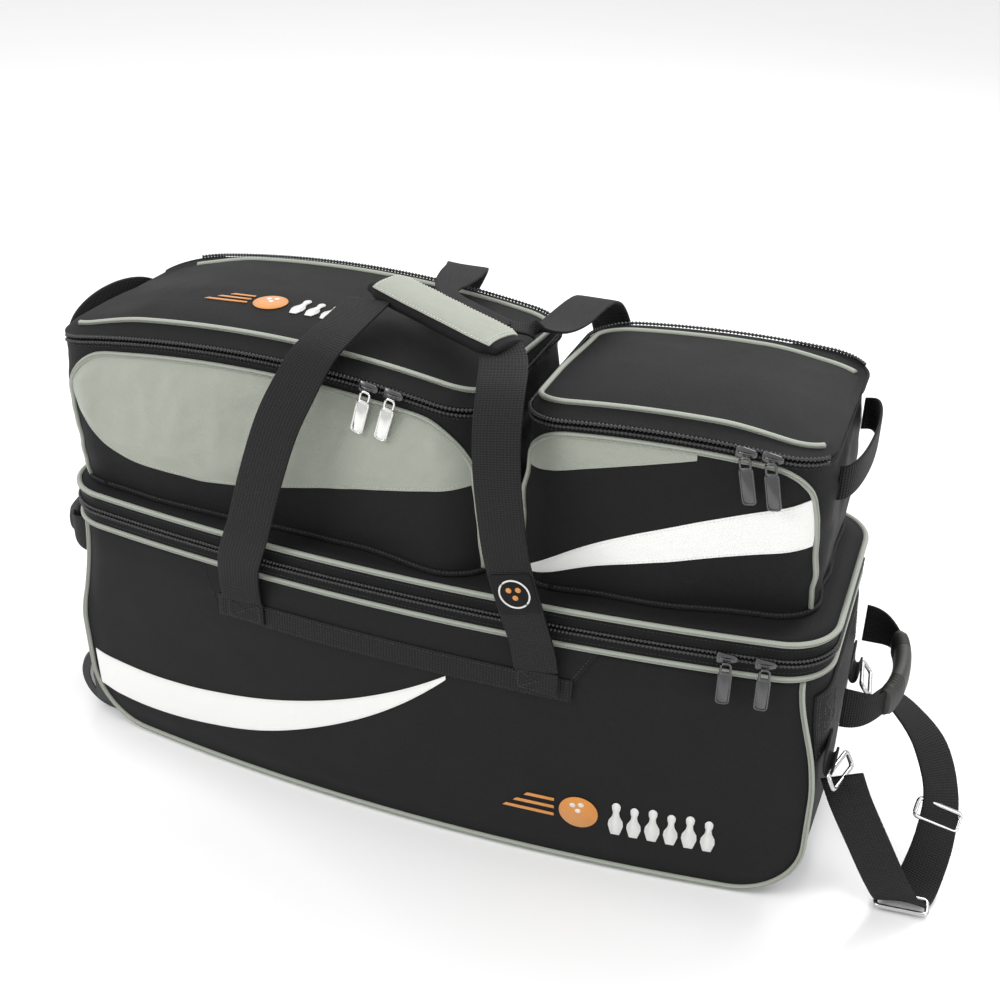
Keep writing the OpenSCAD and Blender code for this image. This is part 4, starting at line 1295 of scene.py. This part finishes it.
def build_wrap():
    """Padded sleeve round the grips, with a silver cover on top and white stitching."""
    place = (Matrix.Translation(WRAP_MIDDLE) @ Matrix.Rotation(math.radians(WRAP_TURN), 4, "Z")
             @ Matrix.Rotation(math.radians(WRAP_TILT), 4, "Y"))

    def at(x, y, z):
        return np.array(place @ Vector((x, y, z)))

    def half_sizes(x):
        end = float(ease((WRAP_HALF - abs(x)) / 16))
        return 15.5 + 4.4 * end, 5.6 + 3.4 * end

    def around(x, a, grow=0.0):
        wide, tall = half_sizes(x)
        c, s = math.cos(a), math.sin(a)
        y = math.copysign(abs(c) ** 0.75, c) * (wide + grow)
        z = math.copysign(abs(s) ** 0.8, s) * (tall + grow)
        z += 0.6 * ripple((x, y, z), 18, 51.0)
        return at(x, y, z)

    xs = np.linspace(-WRAP_HALF, WRAP_HALF, 44)
    core = Shape()
    core.grid([[around(x, a) for a in np.linspace(0, 2 * np.pi, 28, endpoint=False)] for x in xs],
              wrap_v=True, cap=True)
    pad = core.make("grip_sleeve", BLACK, "front_strap", "shell_fabric", "handle_wrap")
    cover = Shape()
    angles = np.linspace(math.radians(28), math.radians(152), 17)
    inner = xs[2:-2]
    top = np.array([[around(x, a, 1.0) for a in angles] for x in inner])
    low = np.array([[around(x, a, 0.1) for a in angles] for x in inner])
    cover.grid(top).grid([border(top), border(low)], wrap_v=True)
    cover.make("grip_sleeve_cover", SILVER, "front_strap", "silver_fabric", centre=tuple(at(0, 0, -30)))
    up = at(0, 0, 1) - at(0, 0, 0)
    seams = [[around(x, math.radians(a), 1.1) for x in inner[1:-1]] for a in (36, 144)]
    seams += [[around(x, a, 1.1) for a in angles[1:-1]] for x in (inner[1], inner[-2])]
    sew("sleeve_stitches", WHITE_THREAD, "front_strap", "white_fabric",
        [(seam, up, 3.4, 2.3, 0.55) for seam in seams])


HANDLE_REACH, HANDLE_HALF, HANDLE_Z = 44, 66, 185


def build_end_handle(side, label, body):
    """Webbing sewn to the bag at both feet, narrowed where a rubber grip covers its middle."""
    grip_from = math.pi / 4

    def route(a):
        reach = END_X + 1.9 + HANDLE_REACH * max(0.0, math.sin(a)) ** 0.6
        return (side * reach, -HANDLE_HALF * math.cos(a), HANDLE_Z)

    web = Shape()
    angles = np.linspace(0.03, math.pi - 0.03, 90)
    narrow = ease(np.minimum(angles, math.pi - angles) / grip_from)
    web.belt(np.array([route(a) for a in angles]), UP,
             np.array([tape_section(37 - 14 * k, 2.8) for k in narrow]))
    web.make(label + "_handle_web", WEB, body, "webbing", body + "_webbing")
    grip = Shape()
    angles = np.linspace(grip_from, math.pi - grip_from, 96)
    sections = []
    for k in range(len(angles)):
        end = min(k, len(angles) - 1 - k)
        fat = 0.80 + 0.20 * float(ease(end / 9))
        groove = 0.9 if (8 < end < 26 and end % 4 < 2) else 1.0
        sections.append(oval(29 * fat * groove, 14.4 * fat * groove, 20, 0.8))
    grip.belt(np.array([route(a) for a in angles]), UP, np.array(sections))
    grip.make(label + "_handle_rubber", RUBBER, body, "grip_rubber", body + "_grip")


TOW_ROUTE = [(364, -79, 128), (375, -83, 106), (394, -85, 72), (412, -84, 38), (424, -78, 16), (433, -64, 7),
             (440, -44, 12), (446, -16, 38), (444, 8, 68), (428, 30, 98), (402, 46, 118), (378, 56, 127)]
TOW_WIDTH = [(0.88, 0, 0.47), (0.88, 0, 0.47), (0.88, 0, 0.47), (0.92, 0, 0.39), (0.99, 0.1, 0.1), (1, 0.1, 0),
             (0.97, 0.1, -0.2), (0.9, 0.2, -0.4), (0.8, 0.4, -0.4), (0.8, 0.5, -0.3), (0.6, 0.7, -0.3),
             (0.3, 0.9, -0.2)]


def wire_frame(shape, at, x_dir, y_dir, w, h, wire):
    """Rectangular ring of round wire."""
    x = unit(np.array(x_dir, float))
    z = unit(np.cross(x, np.array(y_dir, float)))
    y = np.cross(z, x)
    line = rounded_box(w - wire, h - wire, 3.2, 5)
    path = np.array([np.array(at, float) + x * a + y * b for a, b in line])
    shape.tube(even(path, 1.5, closed=True), wire / 2, closed=True, sides=10)


def build_towing_strap():
    web = Shape()
    widths = [np.array(unit(np.array(w, float))) * 36 for w in TOW_WIDTH]
    strap(web, TOW_ROUTE, widths, 2.5, 120)
    web.make("towing_webbing", WEB, "towing_strap", "webbing", "pull_strap")
    rings = Shape()
    for place, x_dir, y_dir, w, h in (((362, -79, 133), (0.25, 0.97, 0), (0.5, 0, -0.9), 42, 18),
                                      ((364, 58, 133), (-0.1, 0.99, 0), (0.6, 0, -0.8), 42, 18),
                                      ((429, -71, 6), (1, 0.1, 0), (0, 1, 0.1), 46, 20),
                                      ((445, -4, 53), (0.88, 0.28, -0.4), (0, 0.6, 0.8), 46, 20)):
        wire_frame(rings, place, x_dir, y_dir, w, h, 4)
    rings.make("towing_rings", STEEL, "towing_strap", "steel", "pull_hardware")


# ---------------------------------------------------------------- zip sliders and pulls

def slider_places():
    def rim_place(x, extra):
        turn = math.asin(x / BOW_R)
        return (Matrix.Translation((0, ARC_Y, ZIP_Z)) @ Matrix.Rotation(turn, 4, "Z")
                @ Matrix.Translation((0, -BOW_R - extra, 0)))

    def pocket_place(p, x):
        turn = math.asin((x - p.crown_x) / CROWN_R)
        return (Matrix.Translation((p.crown_x, p.box[2], p.split - CROWN_R))
                @ Matrix.Rotation(turn, 4, "Y") @ Matrix.Translation((0, 0, CROWN_R)))

    left, right = POCKETS
    return [("main", "a", rim_place(267, 0), 0, GUNMETAL, "pull_metal"),
            ("main", "b", rim_place(296, 1.4), 0, GUNMETAL, "pull_metal"),
            ("left", "a", pocket_place(left, -33), 8, CHROME, "bright_pull_metal"),
            ("left", "b", pocket_place(left, -12), 8, CHROME, "bright_pull_metal"),
            ("right", "a", pocket_place(right, 262), -14, GUNMETAL, "pull_metal"),
            ("right", "b", pocket_place(right, 281), -14, GUNMETAL, "pull_metal")]


PULL_DROP = 21.3


def build_sliders():
    for key, letter, place, tilt, metal, slot in slider_places():
        def at(x, y, z, m=place):
            return np.array(m @ Vector((x, y, z)))

        slider = Shape()
        heart = np.array([(-8, 3.6), (-6.4, 4.9), (-2, 4.2), (5.5, 3.2), (8, 1.6), (8, -1.6), (5.5, -3.2),
                          (-2, -4.2), (-6.4, -4.9), (-8, -3.6)])
        slider.plate(heart, lambda x, z, off: at(x, -off, z), 3.7, 5.6, 0.4)
        bridge = np.array([at(x, -(5.3 + 1.3 * math.sin(math.pi * t)), 0)
                           for t, x in zip(np.linspace(0, 1, 12), np.linspace(-6, 6, 12))])
        slider.tube(bridge, 0.85)
        slider_name, pull_name = f"{key}_slider_{letter}", f"{key}_pull_{letter}"
        slider.make(slider_name + "_body", GUNMETAL, slider_name + "_body", "slider_metal", slider_name)
        hang = place @ Matrix.Translation((0, -9.75, -3)) @ Matrix.Rotation(math.radians(tilt), 4, "Y")

        def tab(x, z, off, m=hang):
            return np.array(m @ Vector((x, -off, z)))

        pull = Shape()
        outline = rounded_box(11, 30, 3.4, 5)
        outline[:, 1] -= PULL_DROP
        pull.plate(outline, tab, -0.7, 0.7, 0.3)
        for face in (0.55, -0.55):
            bead = [tab(x * 0.86, (z + PULL_DROP) * 0.93 - PULL_DROP, face)
                    for x, z in even(outline, 1.2, closed=True)]
            pull.tube(np.array(bead), 0.62, closed=True, sides=6)
        bail = rounded_box(7.5, 9.5, 2.6, 5)
        ring = np.array([tab(x, z - 3.6, 0.0) for x, z in even(bail, 0.8, closed=True)])
        pull.tube(ring, 0.95, closed=True, sides=8)
        pull.make(pull_name + "_tab", metal, pull_name + "_body", slot, pull_name)


# ---------------------------------------------------------------- hinge, kept nodes and stage


def build_hinge():
    """Cloth along the back, between the case rim and the lid."""
    flap = Shape()
    line = [p for p in rim(2.2, 0.0, 5.0) if p[1] > 0 and abs(p[0]) < 150]
    line = np.array(sorted(line, key=lambda p: p[0]))
    flap.grid([line + [0, 0.3 * math.sin(math.pi * k / 17), z]
               for k, z in enumerate(np.linspace(SEAM_Z + 6, LID_Z - 4, 18))])
    obj = flap.make("hinge_cloth", GUSSET, None, "shell_fabric", "hinge_strip",
                    centre=(0, 0, 245), thick=1.0)
    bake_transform(obj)


def finish_kept_nodes():
    looks = {"base_board": BOARD, "skid_rails": PLASTIC, "wheel_housings": PLASTIC, "wheel_axle": STEEL,
             "front_wheel_hub": HUB, "rear_wheel_hub": HUB, "front_wheel_tyre": TYRE, "rear_wheel_tyre": TYRE}
    for node, look in looks.items():
        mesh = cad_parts[node].data
        for k in range(len(mesh.materials)):
            mesh.materials[k] = look
        if not mesh.materials:
            mesh.materials.append(look)


def build_stage():
    reach = 9.0
    n = 40
    pts = [(reach * (2 * i / n - 1), reach * (2 * j / n - 1), -0.0002)
           for i in range(n + 1) for j in range(n + 1)]
    faces = [(a * (n + 1) + b, (a + 1) * (n + 1) + b, (a + 1) * (n + 1) + b + 1, a * (n + 1) + b + 1)
             for a in range(n) for b in range(n)]
    mesh = bpy.data.meshes.new("floor")
    mesh.from_pydata(pts, [], faces)
    f = Finish("studio_floor", (0.9, 0.9, 0.9), 0.22, Specular_IOR_Level=0.5)
    f.rougher(f.noise(f.place(), 400), 0.18, 0.28)
    f.spread(f.noise(f.place(), 900), 0.995, 1.005)
    mesh.materials.append(f.mat)
    floor = bpy.data.objects.new("floor", mesh)
    bpy.context.collection.objects.link(floor)
    world = bpy.data.worlds.new("studio")
    world.use_nodes = True
    world.node_tree.nodes["Background"].inputs["Color"].default_value = (1, 1, 1, 1)
    world.node_tree.nodes["Background"].inputs["Strength"].default_value = 0.86
    bpy.context.scene.world = world
    area_light("overhead", (0, 0.6, 3.4), (0, 0, 0), (5.0, 5.0), 60)
    area_light("key", (-1.6, -1.9, 2.2), (0, 0, 0.2), (1.2, 1.2), 40)
    area_light("back", (0.9, 1.8, 1.9), (0, 0, 0.3), (1.4, 0.9), 26)
    area_light("side", (2.2, -0.8, 1.0), (0.1, 0, 0.2), (0.8, 1.2), 10)
    bpy.context.scene.view_settings.view_transform = "Standard"


make_camera()
build_stage()
build_panels()
build_gusset()
build_rim()
build_main_zip()
build_panel_piping()
build_swoosh()
build_strap_patches()
build_front_emblem()
build_end_patches()
build_insides()
build_lid_top()
for pocket in POCKETS:
    build_pocket(pocket)
    build_pocket_lid(pocket)
build_pocket_piping()
build_pocket_overlays()
build_base_binding()
build_pocket_zips()
build_lid_emblem()
build_end_loops()
build_carry_straps()
build_wrap()
build_end_handle(1, "right", "end_handle")
build_end_handle(-1, "left", "left_handle")
build_towing_strap()
build_sliders()
build_hinge()
finish_kept_nodes()
